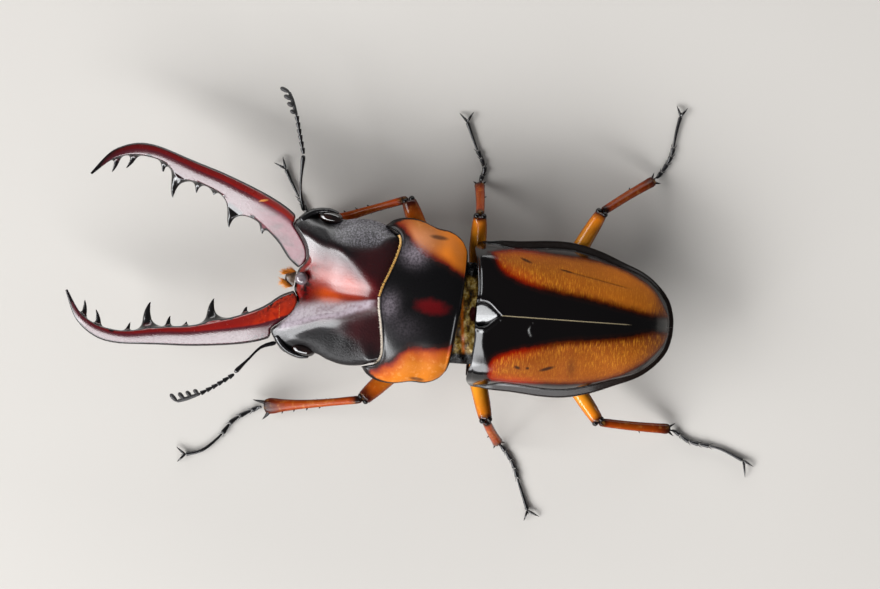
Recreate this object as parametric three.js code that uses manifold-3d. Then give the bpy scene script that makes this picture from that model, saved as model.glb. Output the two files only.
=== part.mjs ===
// A still, life-size stag beetle (a large long-jawed male Prosopocoilus fabricei), standing on six feet.
// Millimetres, +Z up. The beetle faces -Y and its left side is +X. The wing cases' seam runs along Y, and the
// prothorax and the head each bend a little towards the beetle's right.
import * as THREE from "three";
import { mergeVertices } from "three/addons/utils/BufferGeometryUtils.js";
import Module from "manifold-3d";

const wasm = await Module();
wasm.setup();

// ---------------------------------------------------------------- driving dimensions
const GAP = 0.3; // clearance that neighbouring plates and joints keep

const PROTHORAX = { x: -0.73, y: -10.26, turn: -5.9 }; // its centre, and its turn about Z in degrees
const HEAD = { x: 0, y: -5.42, turn: -2 }; // in the prothorax's frame

const BELLY = 4.4; // lowest point of the trunk above the floor
const RIM = 8.2; // height of the wing cases' side margin

const ELYTRA = {
  centre: 9, // y of the point that the dome's rings close on
  crown: 14.3, // greatest height, on the seam
  base: 11.2, // height of the front margin at the seam
  shell: 0.8, // thickness of a wing case
  lip: 0.4, // its thickness at the margin
  seam: 0.15, // half the gap between the two cases
};
const PRONOTUM = { crown: 14.2, rim: 8.7, shell: 3.2 };
const SKULL = { crown: 12.1, rim: 8.9, base: 4.9, neck: 0.65 };
const SCUTELLUM = { length: 3.1, half: 1.5, thick: 1.3 };
const EYE = { x: 9.15, y: -7.8, z: 8.3, radii: [0.9, 1.3, 1.15] };

const CUTICLE = { black: 0x0d0b0b, crimson: 0x5a0a0c, amber: 0xb4641c, rust: 0xa04a12, maroon: 0x2a0c0e };

// ---------------------------------------------------------------- small tools
const vec = (x, y, z = 0) => new THREE.Vector3(x, y, z);
const mix = (a, b, t) => a + (b - a) * t;
const clamp = (x, low, high) => Math.min(high, Math.max(low, x));
const bell = (x, width) => Math.exp(-((x / width) ** 2));

/** A smooth function through [input, output] pairs given in rising order. */
function through(pairs) {
  return (x) => {
    const last = pairs.length - 2;
    const found = pairs.findIndex((p, i) => i <= last && x <= pairs[i + 1][0]);
    const i = found < 0 ? last : found;
    const at = (k) => pairs[clamp(k, 0, last + 1)];
    const span = at(i + 1)[0] - at(i)[0];
    const t = clamp((x - at(i)[0]) / span, 0, 1);
    const slope = (k) => (at(k + 1)[1] - at(k - 1)[1]) / (at(k + 1)[0] - at(k - 1)[0]);
    const [m0, m1] = [slope(i) * span, slope(i + 1) * span];
    const [p0, p1] = [at(i)[1], at(i + 1)[1]];
    return (2 * t ** 3 - 3 * t ** 2 + 1) * p0 + (t ** 3 - 2 * t ** 2 + t) * m0
      + (3 * t ** 2 - 2 * t ** 3) * p1 + (t ** 3 - t ** 2) * m1;
  };
}

/** The geometry with its shared vertices merged and its collapsed faces dropped. */
function closed(geometry) {
  geometry.deleteAttribute("normal");
  geometry.deleteAttribute("uv");
  const merged = mergeVertices(geometry, 1e-3);
  const corners = merged.index.array;
  const kept = [];
  for (let i = 0; i < corners.length; i += 3) {
    const [a, b, c] = corners.slice(i, i + 3);
    if (a !== b && b !== c && c !== a) kept.push(a, b, c);
  }
  merged.setIndex(kept);
  return merged;
}

/** Moves every vertex of a three.js geometry by a function of its place, and closes the result. */
function mould(geometry, place) {
  const position = geometry.getAttribute("position");
  for (let i = 0; i < position.count; i++) {
    const p = place(vec(position.getX(i), position.getY(i), position.getZ(i)));
    position.setXYZ(i, p.x, p.y, p.z);
  }
  return closed(geometry);
}

function solidOf(geometry) {
  return new wasm.Manifold(new wasm.Mesh({
    numProp: 3,
    vertProperties: new Float32Array(geometry.getAttribute("position").array),
    triVerts: new Uint32Array(geometry.index.array),
  }));
}

function geometryOf(solid) {
  const mesh = solid.getMesh();
  const geometry = new THREE.BufferGeometry();
  geometry.setAttribute("position", new THREE.BufferAttribute(mesh.vertProperties, mesh.numProp));
  geometry.setIndex(new THREE.BufferAttribute(mesh.triVerts, 1));
  return geometry;
}

/** The largest body of a solid: what a cut leaves beside it is dropped. */
function mainBody(solid) {
  return solid.decompose().reduce((a, b) => (a.volume() > b.volume() ? a : b));
}

const join = (...parts) => geometryOf(parts.map(solidOf).reduce((a, b) => a.add(b)));
const cut = (part, ...cutters) =>
  geometryOf(mainBody(cutters.map(solidOf).reduce((a, b) => a.subtract(b), solidOf(part))));

/** A shield: a sheet over s (-1 to 1 across) and t (0 to 1 along), k = 1 on its top and 0 on its underside. */
function shield(across, along, place) {
  const ease = (s) => Math.sin((s * Math.PI) / 2);
  return mould(new THREE.BoxGeometry(2, 1, 1, across, along, 1), (p) => place(ease(p.x), p.y + 0.5, p.z + 0.5));
}

/** A limb along a curve. Stations are [t, half width, half height]; floor keeps it from going below z = 0. */
function limb(curve, stations, { sides = 8, grow = 0, floor = false } = {}) {
  const spans = stations.length - 1;
  return mould(new THREE.CylinderGeometry(1, 1, 1, sides, spans), (p) => {
    const [t, wide, high] = stations[Math.round((p.y + 0.5) * spans)];
    const centre = curve.getPointAt(clamp(t, 0, 1));
    const along = curve.getTangentAt(clamp(t, 0, 1));
    const side = along.clone().cross(vec(0, 0, 1)).normalize();
    const up = side.clone().cross(along);
    centre.addScaledVector(side, p.x * (wide + grow)).addScaledVector(up, p.z * (high + grow));
    if (Math.abs(p.y) === 0.5) centre.addScaledVector(along, Math.sign(p.y) * grow);
    if (floor) centre.z = Math.max(centre.z, 0);
    return centre;
  });
}

const curveThrough = (points) => new THREE.CatmullRomCurve3(points.map((p) => vec(...p)), false, "centripetal");

/** A spike from a base point to a tip. A stout one narrows in two steps. */
function spike(base, tip, radius) {
  const waist = [0.45, radius * 0.6, radius * 0.6];
  const stations = [[0, radius, radius], ...(radius > 0.6 ? [waist] : []), [1, 0.1, 0.1]];
  return limb(new THREE.LineCurve3(vec(...base), vec(...tip)), stations, { sides: radius > 0.6 ? 6 : 4 });
}

function finish(colour, roughness) {
  return new THREE.MeshStandardMaterial({ color: colour, roughness, metalness: 0 });
}

function piece(group, name, geometry, colour, roughness = 0.35) {
  const mesh = new THREE.Mesh(geometry, finish(colour, roughness));
  mesh.name = name;
  group.add(mesh);
  return mesh;
}

function turned(parent, { x, y, turn }) {
  const group = new THREE.Group();
  group.position.set(x, y, 0);
  group.rotation.z = THREE.MathUtils.degToRad(turn);
  parent.add(group);
  return group;
}

/** A geometry of a turned group, in its parent's frame. */
function outOf(group, geometry) {
  group.updateMatrix();
  return geometry.clone().applyMatrix4(group.matrix);
}

function mirrored(geometry) {
  const copy = geometry.clone().applyMatrix4(new THREE.Matrix4().makeScale(-1, 1, 1));
  const corners = copy.index.array;
  for (let i = 0; i < corners.length; i += 3) [corners[i], corners[i + 1]] = [corners[i + 1], corners[i]];
  return copy;
}

// ---------------------------------------------------------------- wing cases, abdomen and hind thorax
// Half the outline of the closed wing cases, from the seam's front end round the side to its rear end: the angle
// from +X about the dome's centre, in degrees, and the distance from it.
const elytraOutline = through([
  [-90, 12.9], [-75, 13.1], [-62, 14.1], [-56, 15.35], [-52, 15.3], [-48, 14.3], [-35, 12.0], [-20, 10.75], [0, 10.1],
  [20, 9.95], [40, 10.5], [60, 12.3], [75, 13.55], [84, 13.85], [90, 13.9],
]);

/** The wing cases' outer skin: r from 0 on the dome's centre to 1 on the margin, at an angle in degrees. */
function elytraPoint(r, degrees, inset = 0) {
  const a = THREE.MathUtils.degToRad(degrees);
  const reach = (elytraOutline(degrees) - inset) * r;
  const [x, y] = [reach * Math.cos(a), ELYTRA.centre + reach * Math.sin(a)];
  const front = clamp(-Math.sin(a), 0, 1) ** 6;
  const rim = mix(RIM - 1.3 * clamp((y - 12) / 11, 0, 1) ** 2, ELYTRA.base, front);
  const crown = ELYTRA.crown - 1.6 * clamp((5 - y) / 9, 0, 1) ** 2 - 1.6 * clamp((y - 8) / 14, 0, 1) ** 2;
  const fall = (1 - r ** mix(2.5, 9, front)) ** (1 / 1.75);
  return vec(x, y, mix(rim, crown, fall));
}

function elytron() {
  const [round, rings] = [15, 6];
  const skin = (p) => {
    const degrees = mix(-90, 90, p.x + 0.5);
    const r = Math.sin((mix(0, 1, p.y + 0.5) * Math.PI) / 2);
    const under = p.z < 0;
    const point = elytraPoint(r, degrees, under ? ELYTRA.shell : 0);
    if (under) point.z -= mix(ELYTRA.shell, ELYTRA.lip, r ** 4);
    point.x += ELYTRA.seam;
    return point;
  };
  // x of the box runs round the dome and y outwards, which turns the faces inside out unless x is reversed
  return mould(new THREE.BoxGeometry(1, 1, 1, round, rings, 1), (p) => skin(vec(-p.x, p.y, p.z)));
}

/** The hind thorax and abdomen in one: the space under the wing cases, closed by the belly. */
function hindBody() {
  const [round, rings] = [20, 3];
  return mould(new THREE.SphereGeometry(1, round, rings * 2), (p) => {
    const level = Math.asin(clamp(p.y, -1, 1)) / (Math.PI / 2);
    const r = 1 - Math.abs(level) ** 1.5;
    const degrees = THREE.MathUtils.radToDeg(Math.atan2(-p.z, p.x));
    const half = Math.abs(degrees) > 90 ? Math.sign(degrees) * 180 - degrees : degrees;
    const point = elytraPoint(r, half, ELYTRA.shell + GAP + 0.2);
    if (Math.abs(degrees) > 90) point.x = -point.x;
    const roof = point.z - ELYTRA.shell - GAP - 0.15;
    const floor = mix(BELLY, RIM - 1.6, r ** 2.6);
    point.z = p.y > 0 ? roof : Math.min(floor, roof - 0.2);
    return point;
  });
}

function scutellum(grow = 0) {
  const { length, half, thick } = SCUTELLUM;
  const outline = new THREE.Shape();
  outline.moveTo(-half - grow, -length - grow);
  outline.lineTo(half + grow, -length - grow);
  outline.quadraticCurveTo(half * 0.8 + grow, -0.5, 0, grow);
  outline.quadraticCurveTo(-half * 0.8 - grow, -0.5, -half - grow, -length - grow);
  const plate = new THREE.ExtrudeGeometry(outline, { depth: thick + 8 * grow, bevelEnabled: false, curveSegments: 4 });
  return mould(plate.translate(0, 0, 12.2 - 4 * grow), (p) => vec(p.x, p.y, p.z + 0.33 * p.y));
}

// ---------------------------------------------------------------- prothorax
const pronotumSide = through([
  [0, 9.3], [0.08, 10.15], [0.22, 10.75], [0.4, 10.75], [0.6, 10.15], [0.78, 9.95], [0.92, 9.1], [1, 7.9],
]);
const pronotumFront = through([
  [0, -5.3], [0.15, -5.05], [0.41, -4.35], [0.65, -3.85], [0.81, -3.8], [0.93, -4.5], [1, -6.15],
]);
const pronotumRear = through([[0, 5.35], [0.6, 5.2], [0.88, 5.05], [1, 4.85]]);

/** The dorsal plate of the prothorax. As a cutter it is grown all round, and drops lower to fill its own hollow. */
function pronotumPoint(s, t, k, grow = 0, drop = 0) {
  const side = Math.abs(s);
  const y = mix(pronotumFront(side), pronotumRear(side), t) + grow * (2 * t - 1);
  const x = s * (pronotumSide(t) + grow);
  const crown = PRONOTUM.crown - 1.6 * (1 - t) ** 2 - 1.1 * t ** 4;
  const top = mix(PRONOTUM.rim, crown, (1 - side ** 2.6) ** (1 / 1.8));
  const under = mix(PRONOTUM.rim - 0.35, crown - PRONOTUM.shell, (1 - side ** 2.6) ** (1 / 1.8));
  return vec(x, y, k ? top + grow : Math.min(under, top - 0.5) - grow - drop);
}

const pronotum = (grow, drop) => shield(12, 7, (s, t, k) => pronotumPoint(s, t, k, grow, drop));

function prosternum() {
  return shield(8, 5, (s, t, k) => {
    const rim = pronotumPoint(s, t, 0);
    const side = Math.abs(s);
    const y = mix(rim.y, mix(-3.4, 4.6, t), 0.75);
    const keel = BELLY + 0.5 + 0.9 * (2 * t - 1) ** 2;
    const under = mix(keel, PRONOTUM.rim - 1.1, side ** 2);
    return vec(rim.x * 0.93, y, k ? Math.max(rim.z - GAP - 0.15, under + 0.3) : under);
  });
}

// ---------------------------------------------------------------- head
const headSide = through([
  [0, 7.5], [0.06, 8.6], [0.14, 9.5], [0.22, 9.5], [0.3, 9.0], [0.44, 8.9], [0.55, 9.35], [0.7, 9.6],
  [0.86, 9.2], [1, 8.2],
]);
const headFront = through([
  [0, -11.05], [0.18, -11.0], [0.3, -10.4], [0.42, -10.2], [0.6, -10.7], [0.78, -11.8], [0.92, -12.75], [1, -12.7],
]);

function headPoint(s, t, k, grow = 0) {
  const side = Math.abs(s);
  const x = s * (headSide(t) + grow);
  const rear = pronotumFront(Math.min(Math.abs(x) / 9.3, 0.93)) - HEAD.y - SKULL.neck;
  const y = mix(headFront(side), rear, t) + grow * (2 * t - 1);
  const crown = mix(9.4, SKULL.crown, Math.sin((Math.min(t / 0.75, 1) * Math.PI) / 2));
  const round = (1 - side ** 3) ** (1 / 2);
  const dish = 0.9 * bell(t - 0.32, 0.25) * bell(s, 0.45);
  const top = mix(SKULL.rim, crown, round) - dish;
  const under = mix(SKULL.rim - 1.3, SKULL.base + 1.4 * (1 - t) ** 2, round);
  return vec(x, y, k ? top + grow : under - grow);
}

const skull = (grow = 0) => shield(14, 8, (s, t, k) => headPoint(s, t, k, grow));

function eye() {
  return closed(new THREE.SphereGeometry(1, 10, 7).scale(...EYE.radii).translate(EYE.x, EYE.y, EYE.z));
}

function labrum() {
  return shield(4, 2, (s, t, k) => vec(s * mix(0.65, 1.1, t), mix(-12.4, -11.35, t) - 0.2 * s * s, k ? 7.9 : 6.9));
}

function palp() {
  const path = curveThrough([[1.6, -9.2, 5.4], [2.6, -11.2, 5.0], [3.4, -12.8, 5.2], [3.3, -14.2, 5.3]]);
  return limb(path, [[0, 0.3, 0.3], [0.3, 0.4, 0.4], [0.36, 0.28, 0.28], [0.62, 0.4, 0.4], [0.68, 0.28, 0.28],
    [0.9, 0.42, 0.42], [1, 0.2, 0.2]], { sides: 5 });
}

// ---------------------------------------------------------------- jaws
// The left jaw: stations from its root to its tip, each an outer and an inner edge point, a height and a thickness.
const JAW = [
  { outer: [7.6, -12.3], inner: [1.4, -11.1], z: 7.9, thick: 3.6, back: 2.2 },
  { outer: [8.6, -13.5], inner: [2.4, -12.6], z: 7.9, thick: 3.7, back: 0.7 },
  { outer: [9.25, -14.9], inner: [4.1, -14.2], z: 7.9, thick: 3.5, back: 0 },
  { outer: [9.9, -16.7], inner: [5.5, -16.2], z: 7.8, thick: 3.3, back: 0 },
  { outer: [10.5, -18.8], inner: [6.75, -18.5], z: 7.7, thick: 3.1, back: 0 },
  { outer: [11.05, -21.0], inner: [7.85, -21.0], z: 7.6, thick: 2.9, back: 0 },
  { outer: [11.6, -23.5], inner: [8.95, -23.6], z: 7.5, thick: 2.7, back: 0 },
  { outer: [12.05, -26.2], inner: [9.6, -26.3], z: 7.5, thick: 2.6, back: 0 },
  { outer: [12.55, -28.9], inner: [10.5, -28.9], z: 7.5, thick: 2.4, back: 0 },
  { outer: [13.05, -31.5], inner: [11.3, -31.4], z: 7.6, thick: 2.1, back: 0 },
  { outer: [13.15, -33.7], inner: [11.45, -33.3], z: 7.7, thick: 1.8, back: 0 },
  { outer: [12.75, -35.5], inner: [11.3, -35.1], z: 7.8, thick: 1.5, back: 0 },
  { outer: [11.75, -37.3], inner: [10.7, -36.7], z: 7.9, thick: 1.1, back: 0 },
  { outer: [10.45, -38.55], inner: [9.8, -38.0], z: 8.0, thick: 0.8, back: 0 },
  { outer: [7.8, -40.05], inner: [7.6, -39.85], z: 8.1, thick: 0.3, back: 0 },
];
// Teeth on its inner edge: base point, tip and base radius.
const JAW_TEETH = [
  { base: [10.6, -37.2], tip: [8.45, -37.4], radius: 0.34 },
  { base: [11.6, -35.1], tip: [9.4, -35.7], radius: 0.36 },
  { base: [11.6, -31.3], tip: [10.1, -31.0], radius: 0.3 },
  { base: [11.0, -28.5], tip: [6.9, -29.0], radius: 0.95 },
  { base: [10.0, -26.1], tip: [8.15, -26.1], radius: 0.42 },
  { base: [9.3, -23.9], tip: [8.4, -23.85], radius: 0.3 },
  { base: [8.6, -20.3], tip: [4.7, -21.0], radius: 0.95 },
  { base: [6.1, -16.7], tip: [4.8, -16.55], radius: 0.36 },
];
const TOOTH_Z = 7.55;

function jaw() {
  const spans = JAW.length - 1;
  const blade = mould(new THREE.CylinderGeometry(1, 1, 1, 8, spans), (p) => {
    const { outer, inner, z, thick, back } = JAW[Math.round((p.y + 0.5) * spans)];
    const inward = (p.x + 1) / 2;
    const bow = back * (1 - p.x ** 2);
    return vec(mix(outer[0], inner[0], inward), mix(outer[1], inner[1], inward) + bow, z + (p.z * thick) / 2);
  });
  const teeth = JAW_TEETH.map(({ base, tip, radius }) => spike([...base, TOOTH_Z], [...tip, TOOTH_Z - 0.1], radius));
  return join(blade, ...teeth);
}

// ---------------------------------------------------------------- feelers
const FEELERS = {
  left: {
    scape: [[8.6, -11.9, 7.3], [9.6, -13.65, 8.0], [11.4, -14.9, 8.5], [13.5, -16.3, 8.8]],
    whip: [[13.9, -16.6, 8.8], [15.6, -18.3, 8.3], [17.1, -20.1, 7.9]],
    club: [[17.3, -20.3, 7.9], [18.1, -21.7, 7.6], [18.8, -23.0, 7.4]],
    fan: [-0.6, -0.8],
  },
  right: {
    scape: [[-8.9, -11.9, 7.3], [-10.6, -12.6, 8.0], [-12.4, -13.0, 8.5], [-16.0, -13.4, 8.9]],
    whip: [[-16.4, -13.55, 8.9], [-18.6, -14.45, 8.4], [-20.8, -15.35, 8.0]],
    club: [[-21.1, -15.5, 8.0], [-22.4, -16.2, 7.7], [-23.7, -17.0, 7.5]],
    fan: [-0.25, -0.97],
  },
};
const BEADS = 6;
const LEAVES = 4;

function scape(points) {
  return limb(curveThrough(points), [[0, 0.27, 0.27], [0.1, 0.34, 0.34], [0.4, 0.26, 0.26], [0.7, 0.29, 0.29],
    [0.93, 0.4, 0.4], [1, 0.26, 0.26]], { sides: 5 });
}

function whip(points) {
  const stations = [];
  for (let i = 0; i < BEADS; i++) {
    stations.push([i / BEADS + 0.01, 0.25, 0.25], [(i + 0.65) / BEADS, 0.36, 0.36]);
  }
  stations.push([1, 0.25, 0.25]);
  return limb(curveThrough(points), stations, { sides: 5 });
}

function club(points, [fanX, fanY]) {
  const path = curveThrough(points);
  const stem = limb(path, [[0, 0.27, 0.27], [0.6, 0.34, 0.34], [1, 0.26, 0.26]], { sides: 5 });
  const leaves = [];
  for (let i = 0; i < LEAVES; i++) {
    const foot = path.getPointAt(0.12 + (i * 0.86) / (LEAVES - 1));
    const long = mix(0.8, 1.25, i / (LEAVES - 1));
    const tip = [foot.x + fanX * long, foot.y + fanY * long, foot.z - 0.1];
    const leaf = new THREE.LineCurve3(foot, vec(...tip));
    leaves.push(limb(leaf, [[0, 0.26, 0.3], [0.6, 0.28, 0.5], [1, 0.25, 0.3]], { sides: 4 }));
  }
  return join(stem, ...leaves);
}

// ---------------------------------------------------------------- legs
// Each leg: hip, knee and ankle points, the foot's path on the floor, and the two claws' tips.
const LEGS = {
  front_left: {
    hip: [2.5, -7.6, 5.3], knee: [12.2, -16.9, 6.4], ankle: [14.2, -29.9, 1.1],
    foot: [[14.6, -31.0], [16.3, -33.8], [18.6, -35.5], [20.6, -37.7], [21.3, -39.9]],
    claws: [[20.4, -41.1], [22.4, -40.9]],
  },
  front_right: {
    hip: [-3.3, -7.9, 5.3], knee: [-14.3, -12.8, 6.4], ankle: [-10.1, -24.2, 1.1],
    foot: [[-10.6, -24.9], [-12.3, -26.4], [-14.9, -28.0], [-17.3, -29.3]],
    claws: [[-18.9, -29.8], [-18.0, -30.9]],
  },
  middle_left: {
    hip: [4.1, -3.7, 5.0], knee: [13.8, -0.65, 8.5], ankle: [16.9, 1.3, 0.9],
    foot: [[17.5, 2.0], [19.4, 3.4], [22.2, 4.5], [25.5, 5.8]],
    claws: [[26.9, 5.4], [26.2, 7.4]],
  },
  middle_right: {
    hip: [-4.1, -3.7, 5.0], knee: [-12.8, -3.3, 8.5], ankle: [-17.1, -3.6, 0.9],
    foot: [[-17.9, -3.4], [-19.3, -3.1], [-22.2, -4.5], [-25.2, -5.8]],
    claws: [[-26.6, -5.0], [-26.3, -6.9]],
  },
  hind_left: {
    hip: [3.6, 7.0, 5.0], knee: [13.0, 14.1, 5.6], ankle: [13.4, 23.8, 0.9],
    foot: [[13.8, 24.7], [14.9, 26.6], [15.5, 30.4], [16.9, 33.8]],
    claws: [[19.1, 34.2], [17.6, 35.2]],
  },
  hind_right: {
    hip: [-3.6, 7.0, 5.0], knee: [-14.5, 12.5, 7.2], ankle: [-19.3, 19.3, 0.9],
    foot: [[-20.2, 20.2], [-22.5, 21.4], [-25.9, 21.9], [-27.9, 22.3]],
    claws: [[-29.3, 21.7], [-29.1, 23.2]],
  },
};
const SEGMENT_ENDS = [0, 0.14, 0.28, 0.41, 0.54, 1]; // of a foot's length
const FOOT_Z = 0.25; // height of a foot's middle line: its underside is flat on the floor
const SAG = 0.45; // how far a thigh's middle hangs below the line from hip to knee
const FEMUR = { front: [1.28, 1.15], middle: [1.12, 1.0], hind: [1.08, 1.0] };

function coxa({ hip }, grow = 0) {
  const inward = -Math.sign(hip[0]);
  const ball = new THREE.SphereGeometry(1, 8, 4).scale(1.9 + grow, 1.15 + grow, 1.1 + grow);
  return closed(ball.translate(hip[0] + inward * 0.5, hip[1], hip[2]));
}

function femur({ hip, knee }, [wide, high], grow = 0) {
  const middle = hip.map((h, i) => mix(h, knee[i], 0.5));
  middle[2] -= SAG;
  return limb(curveThrough([hip, middle, knee]), [[0.06, 0.7, 0.7], [0.22, wide * 0.85, high * 0.85], [0.5, wide, high],
    [0.8, wide * 0.9, high * 0.88], [0.95, 0.78, 0.78], [1, 0.45, 0.5]], { sides: 7, grow });
}

const SHIN = [[0.03, 0.42, 0.45], [0.25, 0.52, 0.5], [0.6, 0.55, 0.5], [0.9, 0.68, 0.52], [1, 0.5, 0.42]];
const DIGGING_SHIN = [[0.03, 0.45, 0.5], [0.25, 0.6, 0.55], [0.6, 0.66, 0.55], [0.88, 0.95, 0.55], [1, 0.9, 0.42]];

function tibia({ knee, ankle }, isFront) {
  const [a, b] = [vec(...knee), vec(...ankle)];
  const shaft = limb(new THREE.LineCurve3(a, b), isFront ? DIGGING_SHIN : SHIN, { sides: 6 });
  const along = b.clone().sub(a).normalize();
  const outer = along.clone().cross(vec(0, 0, 1)).normalize().multiplyScalar(Math.sign(knee[0]) * (along.y < 0 ? -1 : 1));
  const at = (t, reach) => a.clone().lerp(b, t).addScaledVector(outer, reach);
  const spikes = [];
  const spur = (t, from, reach, forward, radius) => {
    const tip = at(t, reach).addScaledVector(along, forward);
    tip.z = Math.max(tip.z, 0.3);
    spikes.push(spike(at(t, from).toArray(), tip.toArray(), radius));
  };
  if (isFront) {
    spur(0.96, -0.4, -1.0, 1.9, 0.32);
    spur(0.94, 0.4, 1.7, 1.2, 0.42);
    for (const t of [0.55, 0.7, 0.82]) spur(t, 0.3, 1.0, 0.35, 0.28);
  } else {
    spur(0.96, -0.2, -0.9, 0.9, 0.27);
    spur(0.96, 0.2, 0.9, 0.9, 0.27);
    spur(0.55, 0.2, 0.95, 0.3, 0.26);
  }
  return join(shaft, ...spikes);
}

function tarsus({ ankle, foot, claws }) {
  const start = vec(...ankle).lerp(vec(...foot[0], FOOT_Z), 0.45);
  const path = curveThrough([start.toArray(), ...foot.map(([x, y]) => [x, y, FOOT_Z])]);
  const stations = [];
  for (let i = 0; i < SEGMENT_ENDS.length - 1; i++) {
    const [from, to] = [SEGMENT_ENDS[i], SEGMENT_ENDS[i + 1]];
    stations.push([from + 0.012, 0.27, 0.34], [mix(from, to, i < 4 ? 0.75 : 0.85), 0.4, 0.4]);
  }
  stations.push([1, 0.3, 0.34]);
  const segments = limb(path, stations, { sides: 5, floor: true });
  const end = path.getPointAt(0.985);
  const hooks = claws.map(([x, y]) => {
    const middle = vec(mix(end.x, x, 0.55), mix(end.y, y, 0.55), 0.75);
    const hook = new THREE.QuadraticBezierCurve3(end, middle, vec(x, y, 0.22));
    return limb(hook, [[0, 0.25, 0.27], [0.5, 0.26, 0.26], [1, 0.16, 0.16]], { sides: 4, floor: true });
  });
  return join(segments, ...hooks);
}

// ---------------------------------------------------------------- assembly
const beetle = new THREE.Group();
const body = new THREE.Group();
beetle.add(body);
const prothorax = turned(body, PROTHORAX);
const head = turned(prothorax, HEAD);

const hips = Object.values(LEGS).map((leg) => coxa(leg, GAP));
const thighs = Object.entries(LEGS).map(([name, leg]) => femur(leg, FEMUR[name.split("_")[0]], GAP));

const wingCase = cut(elytron(), scutellum(GAP));
piece(body, "elytron_left", wingCase, CUTICLE.amber, 0.25);
piece(body, "elytron_right", mirrored(wingCase), CUTICLE.amber, 0.25);
piece(body, "scutellum", scutellum(), CUTICLE.black, 0.3);

const SPLIT = 6.9; // y of the joint between the hind thorax and the abdomen
const slab = (y0, y1) => closed(new THREE.BoxGeometry(40, y1 - y0, 40).translate(0, (y0 + y1) / 2, 0));
const under = cut(hindBody(), scutellum(GAP), ...hips, ...thighs);
piece(body, "metasternum", cut(under, slab(SPLIT - GAP / 2, 60)), CUTICLE.black);
piece(body, "abdomen", cut(under, slab(-60, SPLIT + GAP / 2)), CUTICLE.maroon);

piece(prothorax, "pronotum", pronotum(), CUTICLE.black, 0.3);
const inThorax = (geometry) => {
  prothorax.updateMatrix();
  return geometry.clone().applyMatrix4(prothorax.matrix.clone().invert());
};
const frontHips = [0, 1].map((i) => inThorax(hips[i]));
const frontThighs = [0, 1].map((i) => inThorax(thighs[i]));
piece(prothorax, "prosternum", cut(prosternum(), ...frontHips, ...frontThighs), CUTICLE.black);

const collar = limb(new THREE.LineCurve3(vec(0, -5.2, 8.2), vec(0, -4.35, 8.3)), [[0, 6.2, 3.2], [1, 6.5, 3.4]], { sides: 14 });
piece(body, "mesothorax", cut(collar, outOf(prothorax, pronotum(GAP, 3)), under, ...hips), CUTICLE.black);

piece(head, "head", skull(), CUTICLE.maroon, 0.3);
const eyeSolid = cut(eye(), skull(GAP / 2));
piece(head, "eye_left", eyeSolid, CUTICLE.maroon, 0.15);
piece(head, "eye_right", mirrored(eyeSolid), CUTICLE.maroon, 0.15);
piece(head, "labrum", labrum(), CUTICLE.maroon);
const palpSolid = cut(palp(), skull(GAP));
piece(head, "palp_left", palpSolid, CUTICLE.rust);
piece(head, "palp_right", mirrored(palpSolid), CUTICLE.rust);
const jawSolid = cut(jaw(), skull(1.5 * GAP));
piece(head, "mandible_left", jawSolid, CUTICLE.crimson, 0.2);
piece(head, "mandible_right", mirrored(jawSolid), CUTICLE.crimson, 0.2);

for (const [side, feeler] of Object.entries(FEELERS)) {
  piece(head, `antenna_${side}_scape`, cut(scape(feeler.scape), skull(GAP)), CUTICLE.black);
  piece(head, `antenna_${side}_funicle`, whip(feeler.whip), CUTICLE.black);
  piece(head, `antenna_${side}_club`, club(feeler.club, feeler.fan), CUTICLE.black, 0.6);
}

for (const [name, leg] of Object.entries(LEGS)) {
  const kind = name.split("_")[0];
  const thigh = FEMUR[kind];
  piece(body, `leg_${name}_coxa`, coxa(leg), CUTICLE.black);
  piece(body, `leg_${name}_femur`, cut(femur(leg, thigh), coxa(leg, GAP)), CUTICLE.amber);
  piece(body, `leg_${name}_tibia`, cut(tibia(leg, kind === "front"), femur(leg, thigh, GAP)), CUTICLE.rust);
  piece(body, `leg_${name}_tarsus`, tarsus(leg), CUTICLE.black);
}

// The origin is the middle of the bounding box, on the floor.
beetle.updateMatrixWorld(true);
const extent = new THREE.Box3().setFromObject(beetle, true);
body.position.set(-(extent.min.x + extent.max.x) / 2, -(extent.min.y + extent.max.y) / 2, -extent.min.z);

export default beetle;
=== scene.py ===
"""The looks of a life-size stag beetle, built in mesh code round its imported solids.

Shapes are made in millimetres in the beetle's own frames: it faces -Y, its left side is +X, and the floor is
z = 0. The body's frame has its origin at the tip of the scutellum; the prothorax and the head are each turned
a little.
"""
import math
from collections import namedtuple

import bpy
import numpy as np
import openvdb
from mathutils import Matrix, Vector


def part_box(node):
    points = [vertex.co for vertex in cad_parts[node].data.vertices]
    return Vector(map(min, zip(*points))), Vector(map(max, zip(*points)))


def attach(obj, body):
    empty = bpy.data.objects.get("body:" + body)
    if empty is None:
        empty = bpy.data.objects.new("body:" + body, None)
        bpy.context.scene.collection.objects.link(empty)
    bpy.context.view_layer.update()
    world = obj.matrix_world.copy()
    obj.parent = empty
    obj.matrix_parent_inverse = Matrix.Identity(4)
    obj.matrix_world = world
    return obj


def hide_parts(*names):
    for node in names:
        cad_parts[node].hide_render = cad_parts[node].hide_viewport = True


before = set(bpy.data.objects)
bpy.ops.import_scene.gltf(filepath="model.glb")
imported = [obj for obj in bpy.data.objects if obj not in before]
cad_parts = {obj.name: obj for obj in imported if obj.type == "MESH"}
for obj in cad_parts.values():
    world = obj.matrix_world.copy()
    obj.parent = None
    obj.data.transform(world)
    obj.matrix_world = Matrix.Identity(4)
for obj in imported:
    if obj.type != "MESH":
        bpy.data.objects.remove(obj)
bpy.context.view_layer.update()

MM = 0.001
UP = np.array([0.0, 0.0, 1.0])
rng = np.random.default_rng(7)


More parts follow.
